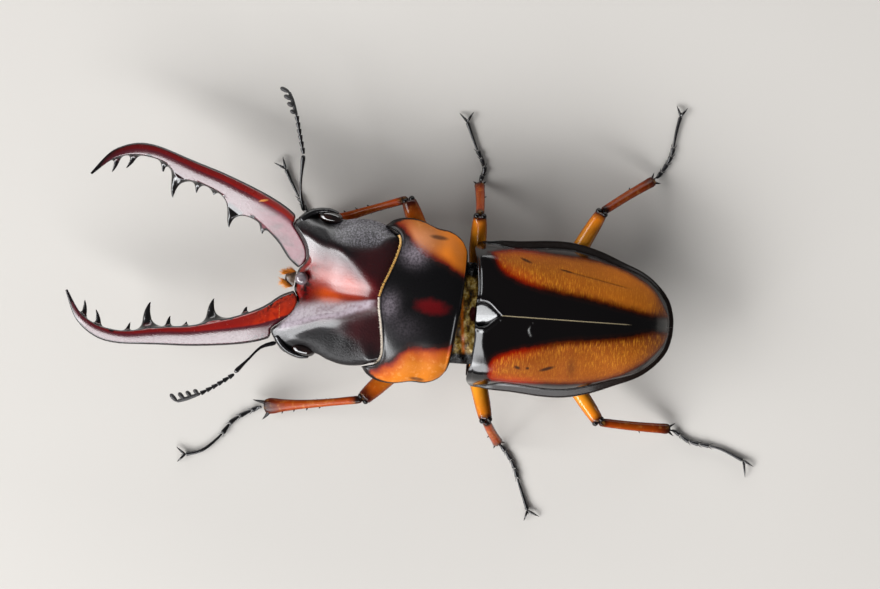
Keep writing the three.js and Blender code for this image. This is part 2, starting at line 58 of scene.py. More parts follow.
# ---------- numbers
def through(*pairs):
    """A smooth function through (input, output) pairs given in rising order, for arrays."""
    xs, ys = np.array(pairs, float).T
    slopes = np.gradient(ys, xs)
    slopes[1:-1] = (ys[2:] - ys[:-2]) / (xs[2:] - xs[:-2])

    def at(x):
        x = np.clip(np.asarray(x, float), xs[0], xs[-1])
        i = np.clip(np.searchsorted(xs, x, side="right") - 1, 0, len(xs) - 2)
        span = xs[i + 1] - xs[i]
        t = (x - xs[i]) / span
        return (
            (2 * t**3 - 3 * t**2 + 1) * ys[i]
            + (t**3 - 2 * t**2 + t) * slopes[i] * span
            + (3 * t**2 - 2 * t**3) * ys[i + 1]
            + (t**3 - t**2) * slopes[i + 1] * span
        )

    return at


def mix(a, b, share):
    return a + (b - a) * share


def held(x):
    """x limited to 0 to 1."""
    return np.clip(x, 0, 1)


def share(x, low, high):
    """0 below low, 1 above high, and a smooth step between them. high may be the lower one."""
    t = held((x - low) / (high - low))
    return t * t * (3 - 2 * t)


def bell(x, width):
    return np.exp(-((x / width) ** 2))


def blob(x, wide, y, long):
    """1 at x = y = 0, and fading over the two widths."""
    return bell(np.hypot(x / wide, y / long), 1)


def unit(v):
    return v / np.maximum(np.linalg.norm(v, axis=-1, keepdims=True), 1e-12)


def smoothed(values, width):
    """A run of numbers smoothed over a width of samples, with its ends continued straight."""
    reach = 3 * width
    steps = np.arange(1, reach + 1)
    before = values[0] - steps[::-1] * (values[1] - values[0])
    after = values[-1] + steps * (values[-1] - values[-2])
    weights = bell(np.arange(-reach, reach + 1), width)
    return np.convolve(np.concatenate([before, values, after]), weights / weights.sum(), "valid")


# ---------- frames
class Place:
    """A local frame in millimetres, turned about Z."""

    def __init__(self, x, y, degrees=0.0, parent=None):
        a = math.radians(degrees)
        self.turn = np.array([[math.cos(a), -math.sin(a), 0], [math.sin(a), math.cos(a), 0], [0, 0, 1]])
        self.origin = np.array([x, y, 0.0])
        if parent:
            self.origin = parent.out(self.origin)
            self.turn = parent.turn @ self.turn

    def out(self, points):
        return np.asarray(points, float) @ self.turn.T + self.origin


plate_low, plate_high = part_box("scutellum")
BODY = Place((plate_low.x + plate_high.x) / 2 / MM, plate_high.y / MM)
PROTHORAX = Place(-0.73, -10.26, -5.9, BODY)
HEAD = Place(0, -5.42, -2, PROTHORAX)


# ---------- meshes
CELLS_PER_MM = 2000  # points that share a cell become one
SHARP = 55  # degrees; edges sharper than this aren't smoothed


class Skin:
    """A closed triangle mesh in local millimetres, with named numbers, its marks, at its points."""

    def __init__(self, points, corners, marks):
        points = np.asarray(points, float).reshape(-1, 3)
        cell = np.round(points * CELLS_PER_MM).astype(np.int64) + (1 << 19)
        key = (cell[:, 0] << 40) | (cell[:, 1] << 20) | cell[:, 2]
        _, first, back = np.unique(key, return_index=True, return_inverse=True)
        corners = back.reshape(-1)[corners]
        a, b, c = corners.T
        corners = corners[(a != b) & (b != c) & (c != a)]
        self.marks = {k: np.resize(np.asarray(v, float), len(points))[first] for k, v in marks.items()}
        self.points = points[first]
        p, q, r = (self.points[corners[:, i]] for i in range(3))
        volume = np.einsum("ij,ij->i", p - p.mean(0), np.cross(q - p.mean(0), r - p.mean(0))).sum()
        self.corners = corners if volume > 0 else corners[:, ::-1]

    def mirrored(self):
        return Skin(self.points * [-1, 1, 1], self.corners, self.marks)


def joined(*skins):
    names = sorted({name for skin in skins for name in skin.marks})
    starts = np.cumsum([0] + [len(skin.points) for skin in skins])
    made = Skin.__new__(Skin)
    made.points = np.concatenate([skin.points for skin in skins])
    made.corners = np.concatenate([skin.corners + start for skin, start in zip(skins, starts)])
    made.marks = {n: np.concatenate([s.marks.get(n, np.zeros(len(s.points))) for s in skins]) for n in names}
    return made


def grid_corners(rows, columns):
    """The triangles of a grid of points whose last column meets its first."""
    i = np.arange(rows - 1)[:, None]
    j = np.arange(columns)[None, :]
    a = i * columns + j
    b = i * columns + (j + 1) % columns
    c, d = b + columns, a + columns
    return np.concatenate([np.stack([a, b, c], -1).reshape(-1, 3), np.stack([a, c, d], -1).reshape(-1, 3)])


def eased(count, ends=1.0):
    """0 to 1, closer together towards both ends; ends 0 spaces them evenly."""
    t = np.linspace(0, 1, count)
    return mix(t, (1 - np.cos(np.pi * t)) / 2, ends)


def sheet(columns, along):
    """s across from -1 to 1, closer together at the sides, and t along."""
    return np.meshgrid(np.sin(np.linspace(-1, 1, columns) * np.pi / 2), along)


def shell(top, under, **marks):
    """A closed plate between two sheets, each given by its x, y and z."""
    top, under = np.stack(top, -1), np.stack(under, -1)
    rows, columns = top.shape[:2]
    width = 2 * columns
    j = np.arange(columns - 1)
    first = np.concatenate([
        np.stack([j + 1, j, width - 1 - j], -1),
        np.stack([j + 1, width - 1 - j, width - 2 - j], -1),
    ])
    last = first[:, ::-1] + (rows - 1) * width
    both = {k: np.concatenate([v, v[:, ::-1]], axis=1) for k, v in marks.items()}
    points = np.concatenate([top, under[:, ::-1]], axis=1)
    return Skin(points, np.concatenate([grid_corners(rows, width), first, last]), both)


def curve(points, count, ends=0):
    """Points on a smooth curve through the given ones, and their distances along it."""
    points = np.array(points, float)
    steps = np.sqrt(np.linalg.norm(np.diff(points, axis=0), axis=1))
    chord = np.concatenate([[0], np.cumsum(steps)])
    fine = np.linspace(0, chord[-1], 500)
    path = np.stack([through(*zip(chord, column))(fine) for column in points.T], -1)
    run = np.concatenate([[0], np.cumsum(np.linalg.norm(np.diff(path, axis=0), axis=1))])
    at = eased(count, ends) * run[-1]
    return np.stack([np.interp(at, run, column) for column in path.T], -1), at


def around(count):
    """The points of a circle."""
    a = np.arange(count) * 2 * np.pi / count
    return np.cos(a), np.sin(a)


def tube(path, wide, high, sides=20, power=2.0, **marks):
    """A closed sweep: half width and half height at each point of its middle line."""
    along = unit(np.gradient(path, axis=0))
    side = np.cross(along, UP)
    side = unit(np.where(np.linalg.norm(side, axis=1, keepdims=True) < 1e-6, [1, 0, 0], side))
    up = np.cross(side, along)
    x, z = (np.sign(v) * np.abs(v) ** (2 / power) for v in around(sides))
    rings = (
        path[:, None]
        + (wide[:, None] * x)[..., None] * side[:, None]
        + (high[:, None] * z)[..., None] * up[:, None]
    )
    ends = [np.repeat(path[i][None, None], sides, 1) for i in (0, -1)]
    points = np.concatenate([ends[0], rings, ends[1]])
    spread = {k: np.repeat(np.pad(np.resize(v, len(path)), 1, "edge"), sides) for k, v in marks.items()}
    return Skin(points, grid_corners(len(points), sides), {"top": np.tile(z, len(points)), **spread})


def limb(points, wide, high=None, blunt=(0.3, 0.3), sides=20, count=80, power=2.0, **marks):
    """A tube through points whose half sizes are functions of its length's share, with rounded ends."""
    path, run = curve(points, count, 0.8)
    t = run / run[-1]
    start = held(run / blunt[0])
    end = held((run[-1] - run) / blunt[1])
    rounded = np.sqrt((1 - (1 - start) ** 2) * (1 - (1 - end) ** 2))
    return tube(path, wide(t) * rounded, (high or wide)(t) * rounded, sides, power, **{"along": t, **marks})


def thorn(base, tip, radius, bow=(0, 0, 0), sides=10, **marks):
    """A curved spike."""
    s = np.linspace(0, 1, 14)[:, None]
    path = base * (1 - s) + tip * s + np.array(bow, float) * 4 * s * (1 - s)
    size = radius * (1 - s[:, 0]) ** 0.75
    return tube(path, size, size, sides, **marks)


def hairs(roots, tips, radius, bow=0.0, rings=5, sides=3):
    """Thin solid hairs from root points to tip points, bowed upwards."""
    s = np.linspace(0, 1, rings)
    count = len(roots)
    lift = np.broadcast_to(bow * UP, (count, 3))
    path = roots[:, None] + (tips - roots)[:, None] * s[:, None] + lift[:, None] * (4 * s * (1 - s))[:, None]
    along = unit(tips - roots)
    side = unit(np.cross(along, [0.31, 0.22, 0.93]))
    up = np.cross(side, along)
    x, z = around(sides)
    ring = x[:, None] * side[:, None] + z[:, None] * up[:, None]
    size = np.concatenate([[0], radius * (1 - 0.8 * s), [0]])
    path = np.concatenate([path[:, :1], path, path[:, -1:]], axis=1)
    points = path[:, :, None] + size[:, None, None] * ring[:, None]
    one = grid_corners(rings + 2, sides)
    corners = (one[None] + (np.arange(count) * (rings + 2) * sides)[:, None, None]).reshape(-1, 3)
    return Skin(points, corners, {"along": np.repeat(np.pad(s, 1, "edge"), sides)})


def ball(centre, radii, rows=28, columns=40, **marks):
    polar = np.linspace(0, np.pi, rows)[:, None]
    x, y = around(columns)
    points = np.stack([np.sin(polar) * x, np.sin(polar) * y, np.cos(polar) * np.ones_like(x)], -1)
    return Skin(points * radii + centre, grid_corners(rows, columns), marks)


def add(name, data):
    """Puts a mesh, lamp or camera into the scene."""
    made = bpy.data.objects.new(name, data)
    bpy.context.scene.collection.objects.link(made)
    return made


def piece(name, skin, place, paint, slot, *nodes):
    """Makes the Blender object of a skin, which stands for the named solids."""
    mesh = bpy.data.meshes.new(name)
    points = place.out(skin.points) * MM
    mesh.vertices.add(len(points))
    mesh.vertices.foreach_set("co", points.ravel())
    mesh.loops.add(skin.corners.size)
    mesh.loops.foreach_set("vertex_index", skin.corners.ravel().astype(np.int32))
    mesh.polygons.add(len(skin.corners))
    mesh.polygons.foreach_set("loop_start", np.arange(0, skin.corners.size, 3, dtype=np.int32))
    mesh.update(calc_edges=True)
    mesh.validate()
    mesh.shade_smooth()
    mesh.set_sharp_from_angle(angle=math.radians(SHARP))
    local = mesh.attributes.new("place", "FLOAT_VECTOR", "POINT")
    local.data.foreach_set("vector", skin.points.ravel().astype(np.float32))
    for mark, values in skin.marks.items():
        mesh.attributes.new(mark, "FLOAT", "POINT").data.foreach_set("value", values.astype(np.float32))
    mesh.materials.append(paint.material)
    made = add(name, mesh)
    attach(made, "root")
    if nodes:
        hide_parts(*nodes)


# ---------- materials
def colour(code):
    """Linear RGBA of an sRGB hex code."""
    values = [int(code[i:i + 2], 16) / 255 for i in (0, 2, 4)]
    return [v / 12.92 if v <= 0.04045 else ((v + 0.055) / 1.055) ** 2.4 for v in values] + [1]


class Value:
    """A number or colour made by a node of a paint."""

    def __init__(self, paint, socket):
        self.paint, self.socket = paint, socket

    def __add__(self, other):
        return self.paint.node("Math", {0: self, 1: other}, operation="ADD")

    def __mul__(self, other):
        return self.paint.node("Math", {0: self, 1: other}, operation="MULTIPLY")

    def step(self, low, high, floor=0.0, top=1.0):
        """Mapped smoothly from low..high to floor..top, and held there."""
        ends = {"From Min": low, "From Max": high, "To Min": floor, "To Max": top}
        return self.paint.node("MapRange", {"Value": self, **ends}, interpolation_type="SMOOTHSTEP")


class Paint:
    """A node material in the making; paint["name"] is a mark. Distances are local millimetres."""

    def __init__(self, name, **sockets):
        self.material = bpy.data.materials.new(name)
        self.material.use_nodes = True
        self.tree = self.material.node_tree
        self.shader = self.tree.nodes["Principled BSDF"]
        self.set(**sockets)

    def __getitem__(self, name):
        return self.node("Attribute", {}, "Fac", attribute_name=name)

    def give(self, socket, value):
        if isinstance(value, Value):
            self.tree.links.new(value.socket, socket)
        else:
            socket.default_value = colour(value) if isinstance(value, str) else value

    def set(self, **sockets):
        """Sets or links sockets of the shader."""
        for name, value in sockets.items():
            self.give(self.shader.inputs[name.replace("_", " ")], value)

    def node(self, kind, inputs, output=0, **settings):
        made = self.tree.nodes.new("ShaderNode" + kind)
        for name, value in settings.items():
            setattr(made, name, value)
        for key, value in inputs.items():
            self.give(made.inputs[key], value)
        return Value(self, made.outputs[output])

    def noise(self, scale, stretch=(1, 1, 1), detail=3.0, spread=None):
        """Noise about 0.5, or about 0 and scaled to a spread."""
        where = self.node("Attribute", {}, "Vector", attribute_name="place")
        where = self.node("VectorMath", {0: where, 1: stretch}, operation="MULTIPLY")
        made = self.node("TexNoise", {"Vector": where, "Scale": scale, "Detail": detail})
        return made if spread is None else (made + -0.5) * spread

    def ramp(self, value, *stops):
        low, high = stops[0][0], stops[-1][0]
        scaled = self.node("MapRange", {"Value": value, "From Min": low, "From Max": high})
        made = self.node("ValToRGB", {0: scaled})
        elements = made.socket.node.color_ramp.elements
        while len(elements) < len(stops):
            elements.new(0.5)
        for element, (at, code) in zip(elements, stops):
            element.position = (at - low) / (high - low)
            element.color = colour(code)
        return made

    def mix(self, amount, a, b):
        return self.node("Mix", {0: amount, 6: a, 7: b}, 2, data_type="RGBA")

    def cover(self, skin, *layers):
        """Sets the base colour: a first one, and then others laid over it by amounts."""
        for amount, layer in layers:
            skin = self.mix(amount, skin, layer)
        self.set(Base_Color=skin)

    def bump(self, height, depth, strength):
        """Bumps the surface by a height of 0 to 1 that stands for depth millimetres."""
        inputs = {"Height": height, "Distance": depth * MM, "Strength": strength}
        self.set(Normal=self.node("Bump", inputs))


def wing_case_paint():
    p = Paint("wing_case", IOR=1.5, Specular_IOR_Level=0.07, Coat_Roughness=0.14)
    streaks = p.noise(1.7, (0.7, 5, 1), 5)
    fine = p.noise(5, (0.8, 4, 1), 3)
    patch = p["patch"] + p.noise(0.9, (1, 1.2, 1), 3, 0.5) + p.noise(4, (1, 2, 1), 2, 0.22)
    back = p.ramp(patch, (-0.4, "050303"), (0.1, "140604"), (0.6, "501c04"), (1.4, "86420a"), (2.6, "985008"))
    base = p.ramp(patch, (-0.4, "050303"), (0, "1c0503"), (0.5, "761203"), (1.2, "902e03"), (2.2, "8c4606"))
    inside = p["patch"].step(0.2, 1.4)
    p.cover(
        p.mix(p["base"], back, base),
        (p["apex"] * patch.step(-0.2, 0.7), "5a3426"),
        (streaks.step(0.48, 0.68) * (inside * p["outward"].step(1, 0.45, 0.2)) * 0.8, "d08820"),
        (inside * p["outward"] * 0.2, "a8683a"),
        (fine.step(0.55, 0.3) * (inside * 0.6), "56280a"),
        (p["seam"].step(0.08, 0.03), "887c62"),
        (p["rim"] * patch.step(0.6, 0), "17100d"),
        # scuff: scratches on the left case's black band, painted pale grey as glints, a painted highlight
        # over real scratches
        (p["scuff"] * p.noise(1.6, detail=2).step(0.35, 0.6), "8c8c8a"),
        (p["shade"], "6a3004"),
        (p["lit"] * patch.step(0.3, 1.4), "dc7c1a"),
        (p["spots"], "0b0706"),
    )
    p.set(
        Coat_Weight=p["patch"].step(0.5, -0.3) * 0.8 * p["rim"].step(1, 0, 0.2),
        Roughness=(inside + p.noise(2.5, (1, 2, 1), 3, 0.3)).step(0, 1, 0.2, 0.6),
    )
    p.bump(fine * 0.7 + streaks * 0.6, 0.03, 0.5)
    return p


def pronotum_paint():
    p = Paint("pronotum", IOR=1.5, Specular_IOR_Level=0.12, Coat_Roughness=0.24)
    patch = p["patch"] + p.noise(0.8, spread=0.9) + p.noise(3, spread=0.3)
    p.cover(
        p.ramp(patch, (-0.5, "060506"), (0.1, "1c0805"), (0.5, "6c1a05"), (1.2, "a0480a"), (2.4, "b0620e")),
        (p.noise(1.4, detail=4).step(0.52, 0.7) * p["patch"].step(0.6, 2) * 0.45, "c88444"),
        # painted highlight: a peach sheen on the front of the right patch
        (p["peach"], "dc9060"),
        (p["lit"], "e8801c"),
        ((p["spot"] + p.noise(1.2, spread=0.6)).step(0.15, 1.1), "500408"),
        # painted reflection: grey satin sheen on the front of the black middle and on the right patch's inner
        # front edge
        (p["bloom"] * p.noise(3.5, detail=5).step(0.3, 0.7, 0.35), "867c84"),
        ((p["rim"] + p.noise(2, detail=2, spread=0.15)).step(0.3, 0.14), "0a0808"),
        (p["spots"], "2a1206"),
    )
    black = p["patch"].step(0.3, -0.4)
    grain = p.noise(5, detail=4)
    p.set(Coat_Weight=black * 0.5, Roughness=black * -0.2 + grain.step(0.2, 0.8, 0.46, 0.58))
    p.bump(grain, 0.04, 0.6)
    return p


def skull_paint():
    p = Paint("skull", IOR=1.5, Specular_IOR_Level=0.25, Coat_Roughness=0.26)
    p.cover(
        p.ramp(
            p["middle"] + p.noise(0.7, spread=0.25),
            (0, "0d090b"), (0.3, "30080c"), (0.55, "460a0e"), (0.8, "64160c"), (1.1, "8a260c"),
        ),
        ((p["glow"] + p.noise(1.1, spread=0.4)).step(0.1, 1), "c4480c"),
        (
            p["front"] * p.noise(0.9).step(0.4, 0.55, 0.8),
            p.mix(p.noise(1.1).step(0.4, 0.55), "180406", "6a0408"),
        ),
        # dark: darker down the steep sides and round the eye sockets; the darkening along the front face is
        # painted shade
        (p["dark"], "0a0708"),
        # painted sheen: a grey satin reflection on the right side of the head, speckled by grain; the grain
        # also bumps the surface
        (p["frost"] * p.noise(4.5, detail=5).step(0.38, 0.68, 0.1, 0.8), "8c8890"),
        (p["sheen"] * p.noise(2.5, detail=5).step(0.3, 0.6, 0.6), "b6aab2"),
        # painted shade: the left side of the head, in front of its rear corner, is painted near black; it is
        # also made rougher
        (p["matte"], "0c0a0b"),
    )
    grain = p.noise(4, detail=5)
    p.set(
        Coat_Weight=p["dull"].step(0, 1, 0.85, 0) * p["front"].step(0, 1, 1, 0.25),
        Roughness=p["satin"] * 0.08 + p["matte"] * 0.08 + grain.step(0.2, 0.8, 0.24, 0.36),
    )
    p.bump(grain * (p["satin"] * 0.3 + p["frost"] * 0.6 + 0.15), 0.2, 0.7)
    return p


def jaw_paint():
    p = Paint("jaw", IOR=1.52, Coat_Roughness=0.16)
    red = p.mix(
        p["root"] * p.noise(1.5, detail=4).step(0.35, 0.6, 0.2),
        p.ramp(
            p["along"] + p.noise(0.5, detail=2, spread=0.15),
            (0, "98220a"), (0.16, "8a1a0a"), (0.3, "84120a"), (0.5, "720c0a"), (0.8, "540608"),
            (0.95, "180405"), (1, "0b0607"),
        ),
        "ae2a0a",
    )
    mottled = p["edge"].step(1.3, 0.4) * p.noise(2.2, detail=4).step(0.42, 0.6)
    p.cover(
        # blush: a pinker base and a rougher, weaker coat on the right jaw's root, painted sheen where its
        # reflection is broad
        p.mix(p["blush"] * p.noise(0.9, (1, 0.5, 1)).step(0.3, 0.6), "401018", "5c1c2a"),
        # red: crimson on the face turned away from the key light, and a dark purple base on the face that
        # mirrors it, so this split of colours follows the light
        ((p["red"] + p.noise(1.8, (1, 0.3, 1), 3, 0.5)).step(0.2, 0.9), red),
        # chip: a painted orange glint on the right jaw, and a real pale crack line across the left jaw's root
        ((p["chip"] + p.noise(4, spread=0.6)).step(0.4, 0.8) * 0.75, "e09a50"),
        (mottled * p["root"], "0c0606"),
        ((p["edge"] + p.noise(2.5, detail=2, spread=0.15)).step(0.44, 0.24), "080506"),
        (p["tooth"], "0a0707"),
    )
    coat = p["root"].step(0, 1, 0.5, 0.1) * p["blush"].step(0, 1, 1, 0.55)
    p.set(
        Coat_Weight=coat * p["edge"].step(0.3, 0.5, 0.1),
        Roughness=p.noise(3, detail=4).step(0.25, 0.75, 0.16, 0.28) + p["blush"] * 0.2,
    )
    p.bump(p.noise(7), 0.012, 0.5)
    return p


def plain_paint(name, light, dark, roughness, grain=6.0, depth=0.02, **sockets):
    """A cuticle of one colour that varies softly between a light and a dark tone."""
    p = Paint(name, IOR=1.5, **sockets)
    fine = p.noise(grain)
    p.cover(dark, (p.noise(0.9, detail=4).step(0.35, 0.65), light))
    p.set(Roughness=fine.step(0.2, 0.8, roughness * 0.8, roughness * 1.25))
    p.bump(fine, depth, 0.6)
    return p


def leg_paint(name, coat, *stops):
    """A limb's cuticle, whose colour runs along it."""
    p = Paint(name, IOR=1.5, Specular_IOR_Level=0.1, Coat_Weight=coat, Coat_Roughness=0.06)
    p.cover(
        p.ramp(p["along"] + p.noise(0.9, spread=0.06), *stops),
        (p.noise(1.6, detail=4).step(0.5, 0.75) * 0.2, "e0a050"),
        # painted shade: darker down the sides and underneath of each limb, lighter along its top
        (p["top"].step(0.85, 0.3, 0, 0.6), "5a1a04"),
        (p["dark"], "0b0707"),
    )
    fine = p.noise(5)
    p.set(Roughness=fine.step(0.2, 0.8, 0.16, 0.26))
    p.bump(fine, 0.02, 0.5)
    return p


def hair_paint(name, root, tip):
    p = Paint(name, Roughness=0.4, IOR=1.5)
    p.cover(root, (p["along"], tip))
    return p


WING_CASE = wing_case_paint()
PRONOTUM = pronotum_paint()
SKULL = skull_paint()
JAW = jaw_paint()
BLACK = plain_paint("black_cuticle", "141214", "080707", 0.22, Coat_Weight=0.3)
UNDERSIDE = plain_paint("underside", "2c100c", "0e0808", 0.3, Coat_Weight=0.2)
EYE = plain_paint("eye", "1c0c08", "070303", 0.1, 14, 0.01, Coat_Weight=0.8, Coat_Roughness=0.03)
MOUTH = plain_paint("mouth_parts", "8a4a18", "4a2410", 0.3)
LIP = plain_paint("lip", "7a6a5c", "3a2c22", 0.3)
KNOB = plain_paint("knob", "6e6468", "3c3034", 0.12, 3, 0.01, Coat_Weight=0.6)
CLUB = plain_paint("antenna_club", "2a2828", "121010", 0.5, 10, 0.03)
FEMUR = leg_paint(
    "femur", 0.4,
    (0, "3a1408"), (0.08, "8a3c08"), (0.2, "d07c14"), (0.6, "d88a20"), (0.92, "c46c10"), (0.97, "3a0f06"),
    (1, "0b0707"),
)
FRONT_FEMUR = leg_paint(
    "front_femur", 0.25,
    (0, "3a1408"), (0.2, "8a4008"), (0.55, "c0701a"), (0.85, "a0480c"), (0.95, "3a0f06"), (1, "0b0707"),
)
TIBIA = leg_paint(
    "tibia", 0.08,
    (0, "0b0707"), (0.05, "1a0806"), (0.12, "8a3206"), (0.4, "8e3c08"), (0.75, "843004"), (0.93, "3a1208"),
    (1, "0b0707"),
)
GOLD_HAIR = hair_paint("gold_hair", "8a5c20", "e0b464")
ORANGE_HAIR = hair_paint("orange_hair", "9a4c08", "e89c34")
# The fringe hair is golden; its left half is painted whitish where the light falls on it, a painted sheen.
LIT_PALE_HAIR = hair_paint("lit_pale_hair", "7a6a58", "d8cdbc")


# ---------- wing cases and scutellum
ELYTRA_CENTRE = 9  # y of the point that the rear outline runs round
elytra_outline = through(
    (-90, 12.1), (-75, 12.4), (-62, 13.9), (-56, 15.25), (-52, 15.25), (-48, 14.3), (-35, 12), (-20, 10.75),
    (0, 10.1), (20, 9.95), (40, 10.5), (60, 12.3), (75, 13.55), (84, 13.85), (90, 13.9),
)
degrees_round = np.linspace(-52, 90, 200)
# Half width of the two wing cases together, against y.
margin_x = elytra_outline(degrees_round) * np.cos(np.radians(degrees_round))
margin_y = ELYTRA_CENTRE + elytra_outline(degrees_round) * np.sin(np.radians(degrees_round))
front_edge = through((0, -3.1), (3.2, -2.98), (6.5, -3.27), (8.5, -3.64), (9.4, -3.1))
SCUTELLUM_LONG = 2.9
scutellum_half = through((-2.9, 1.3), (-2.3, 1.48), (-1.5, 1.32), (-0.8, 0.78), (-0.3, 0.3), (0, 0.04))
# Half width of the black band along the seam, and the outer limit of the amber, against y; 1 is the left.
band = {
    1: through(
        (-1.5, 7.4), (-0.6, 5.5), (1.3, 4.4), (4.2, 3.6), (8.2, 2.5), (12.1, 2), (16, 1.4), (19.8, 0.5),
    ),
    -1: through((-1.7, 7.9), (-0.2, 5.7), (2.4, 4.3), (5.8, 3.4), (11, 2.6), (15.7, 1.7), (19.4, 1)),
}
amber_limit = {
    1: through(
        (-1.5, 7.7), (-0.2, 8.6), (6.7, 8.6), (11.7, 8.2), (15.5, 7.2), (19, 5.2), (21.3, 2.9), (22.4, 1),
    ),
    -1: through(
        (-1.9, 8.2), (1.5, 8.9), (6.2, 8.7), (10.6, 8.4), (14.5, 7.7), (17.3, 6.6), (20, 4.8), (22.2, 1.4),
    ),
}
# Small dark blots on the amber: y, x, half length, half width and slant.
BLOTS = {
    1: [(2.8, 6.5, 0.45, 0.25, 0.2), (4.1, 6.5, 0.25, 0.2, 0), (6.6, 6.4, 1.1, 0.26, -0.33)],
    -1: [(3, 7.3, 0.9, 0.2, -0.35), (8.3, 6.3, 0.9, 0.12, -0.2)],
}


def beside_scutellum(x, y):
    """Distance from the scutellum's outline, negative inside it."""
    return np.where(y > 0, np.hypot(x, y), (np.abs(x) - scutellum_half(y)) * 0.85)


def ramp_up(x, width):
    """0 below zero and x above it, with a bend of a width between them."""
    return (np.hypot(x, width) + x) / 2


def slant_of(edge, at, fine):
    """How much longer a step across is than the distance from a slanting edge."""
    return np.interp(at, fine, np.sqrt(1 + np.gradient(edge(fine), fine) ** 2))


def elytra_height(reach, degrees, side):
    """x, y and height of the closed wing cases at a distance from the dome's centre."""
    a = np.radians(degrees)
    outline = elytra_outline(degrees)
    x, y = reach * np.cos(a), ELYTRA_CENTRE + reach * np.sin(a)
    rear = share(degrees, -25, 25)
    ledge = mix(mix(1, 0.3, share(y, 1.5, -2.5)), 0.55, share(y, 11, 21))
    wide = np.maximum(np.interp(y, margin_y, margin_x), 2)
    r = held(mix(x / (wide - ledge), reach / (outline - ledge), rear))
    crown = 14.3 - 0.8 * held((5 - y) / 9) ** 2 - 1.6 * held((y - 8) / 14) ** 2
    rim = 8.4 - 1.3 * held((y - 12) / 11) ** 2
    z = mix(rim, crown, (1 - r ** mix(2.5, 7, share(y, 9, -2))) ** (1 / 1.75))
    z -= 0.6 * ramp_up(ledge - mix(wide - x, outline - reach, rear), 0.12)
    z += 0.04 * bell(outline - reach - 0.1, 0.07) - 0.16 * (1 - held((outline - reach) / 0.1)) ** 2
    behind = y - front_edge(x)
    if side > 0:
        z -= mix(0.42, 0.26, share(x, 3.5, 6.5)) * ramp_up(mix(1.15, 2.4, share(x, 3.5, 7)) - behind, 0.2)
    else:
        z -= 1 * ramp_up(0.5 - behind, 0.15)
        z += 0.14 * bell(np.hypot(x - 7.4, y + 2.5), 0.45)
    beside = beside_scutellum(x, y)
    z += 0.16 * bell(beside - 0.45, 0.25) - mix(0.6, 1.8, share(y, -0.5, -2.5)) * share(beside, 0.16, -0.1)
    z -= 0.05 * bell(x, 0.12)
    return x, y, z


def wing_case(side):
    """One wing case as a thin shell; side is 1 for the left one."""
    degrees = np.concatenate([
        np.linspace(-90, -80, 30)[:-1], np.linspace(-80, 78, 210)[:-1], np.linspace(78, 90, 34),
    ])
    r = np.concatenate([np.linspace(0, 0.86, 90)[:-1], np.linspace(0.86, 1, 56)])
    turn, ring = np.meshgrid(degrees, r)
    left, right = side > 0, side < 0
    x, y, z = elytra_height(ring * elytra_outline(turn), turn, side)
    crease = bell(x - mix(6.5, 4.5, held((y - 7.2) / 10)), 0.09)
    crease = crease * share(y, 7, 8.2) * share(y, 17.5, 15) * right
    z = z - 0.06 * crease
    ux, uy, uz = elytra_height(ring * (elytra_outline(turn) - 0.5), turn, side)
    half, limit = band[side](y), amber_limit[side](y)
    inner = (x - half) / slant_of(band[side], y, np.linspace(-4, 23, 400))
    patch = np.minimum(inner, (limit - x) * 1.4)
    patch = np.minimum(patch, np.minimum(y + (1.1 if left else 2.1), 22.4 - y))
    spots = sum(
        share(np.hypot((y - at) / long, (x - off - slope * (y - at)) / wide), 1.25, 0.4)
        for at, off, long, wide, slope in BLOTS[side]
    )
    spots = spots + 0.45 * blob(y - 9.7, 0.6, x - 6.1, 1.3) * left
    return shell(
        (side * (x + 0.004), y, z), (side * (ux + 0.004), uy, uz - 0.5),
        patch=patch,
        seam=np.where(y > 0.3, x, 9) + share(y, 16, 20) * 0.3,
        rim=share(elytra_outline(turn) * (1 - ring), 1.1, 0.8) * share(y, -1.5, 0.5),
        apex=share(y + 0.25 * x, 18.5, 22) * 0.7,
        base=share(y, 7.5, 2.5) * (1 if left else 0.8),
        spots=held(spots + 0.6 * crease) * 0.85,
        outward=held((x - half) / np.maximum(limit - half, 0.5)),
        # scuff: scratches on the left case, painted as grey glints (painted highlight)
        scuff=bell(y - 4.1 - 0.2 * np.sin(3 * x), 0.09) * share(np.abs(x - 1.5), 1, 0.6) * left,
        shade=0.6 * bell((y - 7) / 8, 1) * share(patch, 0.5, 2) * left,
        lit=mix(0.15, 0.5, share(y, 8, 17)) * share(y, 21.5, 19) * right,
    )


def scutellum():
    s, t = sheet(41, eased(50, 0.7))
    y = mix(-SCUTELLUM_LONG, 0, t)
    x = s * scutellum_half(y)
    z = 13.85 + 0.52 * y - 0.24 * x + 0.08 * (1 - s**2) - 0.25 * np.abs(s) ** 8 - 0.2 * share(t, 0.9, 1)
    return shell((x, y, z), (x, y, z - 0.8))


for side, name in ((1, "left"), (-1, "right")):
    piece(f"wing_case_{name}", wing_case(side), BODY, WING_CASE, "wing_case", f"elytron_{name}")
piece("scutellum_plate", scutellum(), BODY, BLACK, "black_cuticle", "scutellum")

# ---------- prothorax
# Half width against t, 0 in front, and y of the front and rear margins against the share of that width.
pronotum_side = through(
    (0, 9.3), (0.08, 10.15), (0.22, 10.75), (0.4, 10.75), (0.6, 10.15), (0.78, 9.95), (0.92, 9.1), (1, 7.9),
)
pronotum_front = through(
    (0, -5.3), (0.15, -5.05), (0.41, -4.35), (0.65, -3.85), (0.81, -3.8), (0.93, -4.5), (1, -6.15),
)
pronotum_rear = through((0, 5.35), (0.6, 5.2), (0.88, 5.05), (1, 4.85))
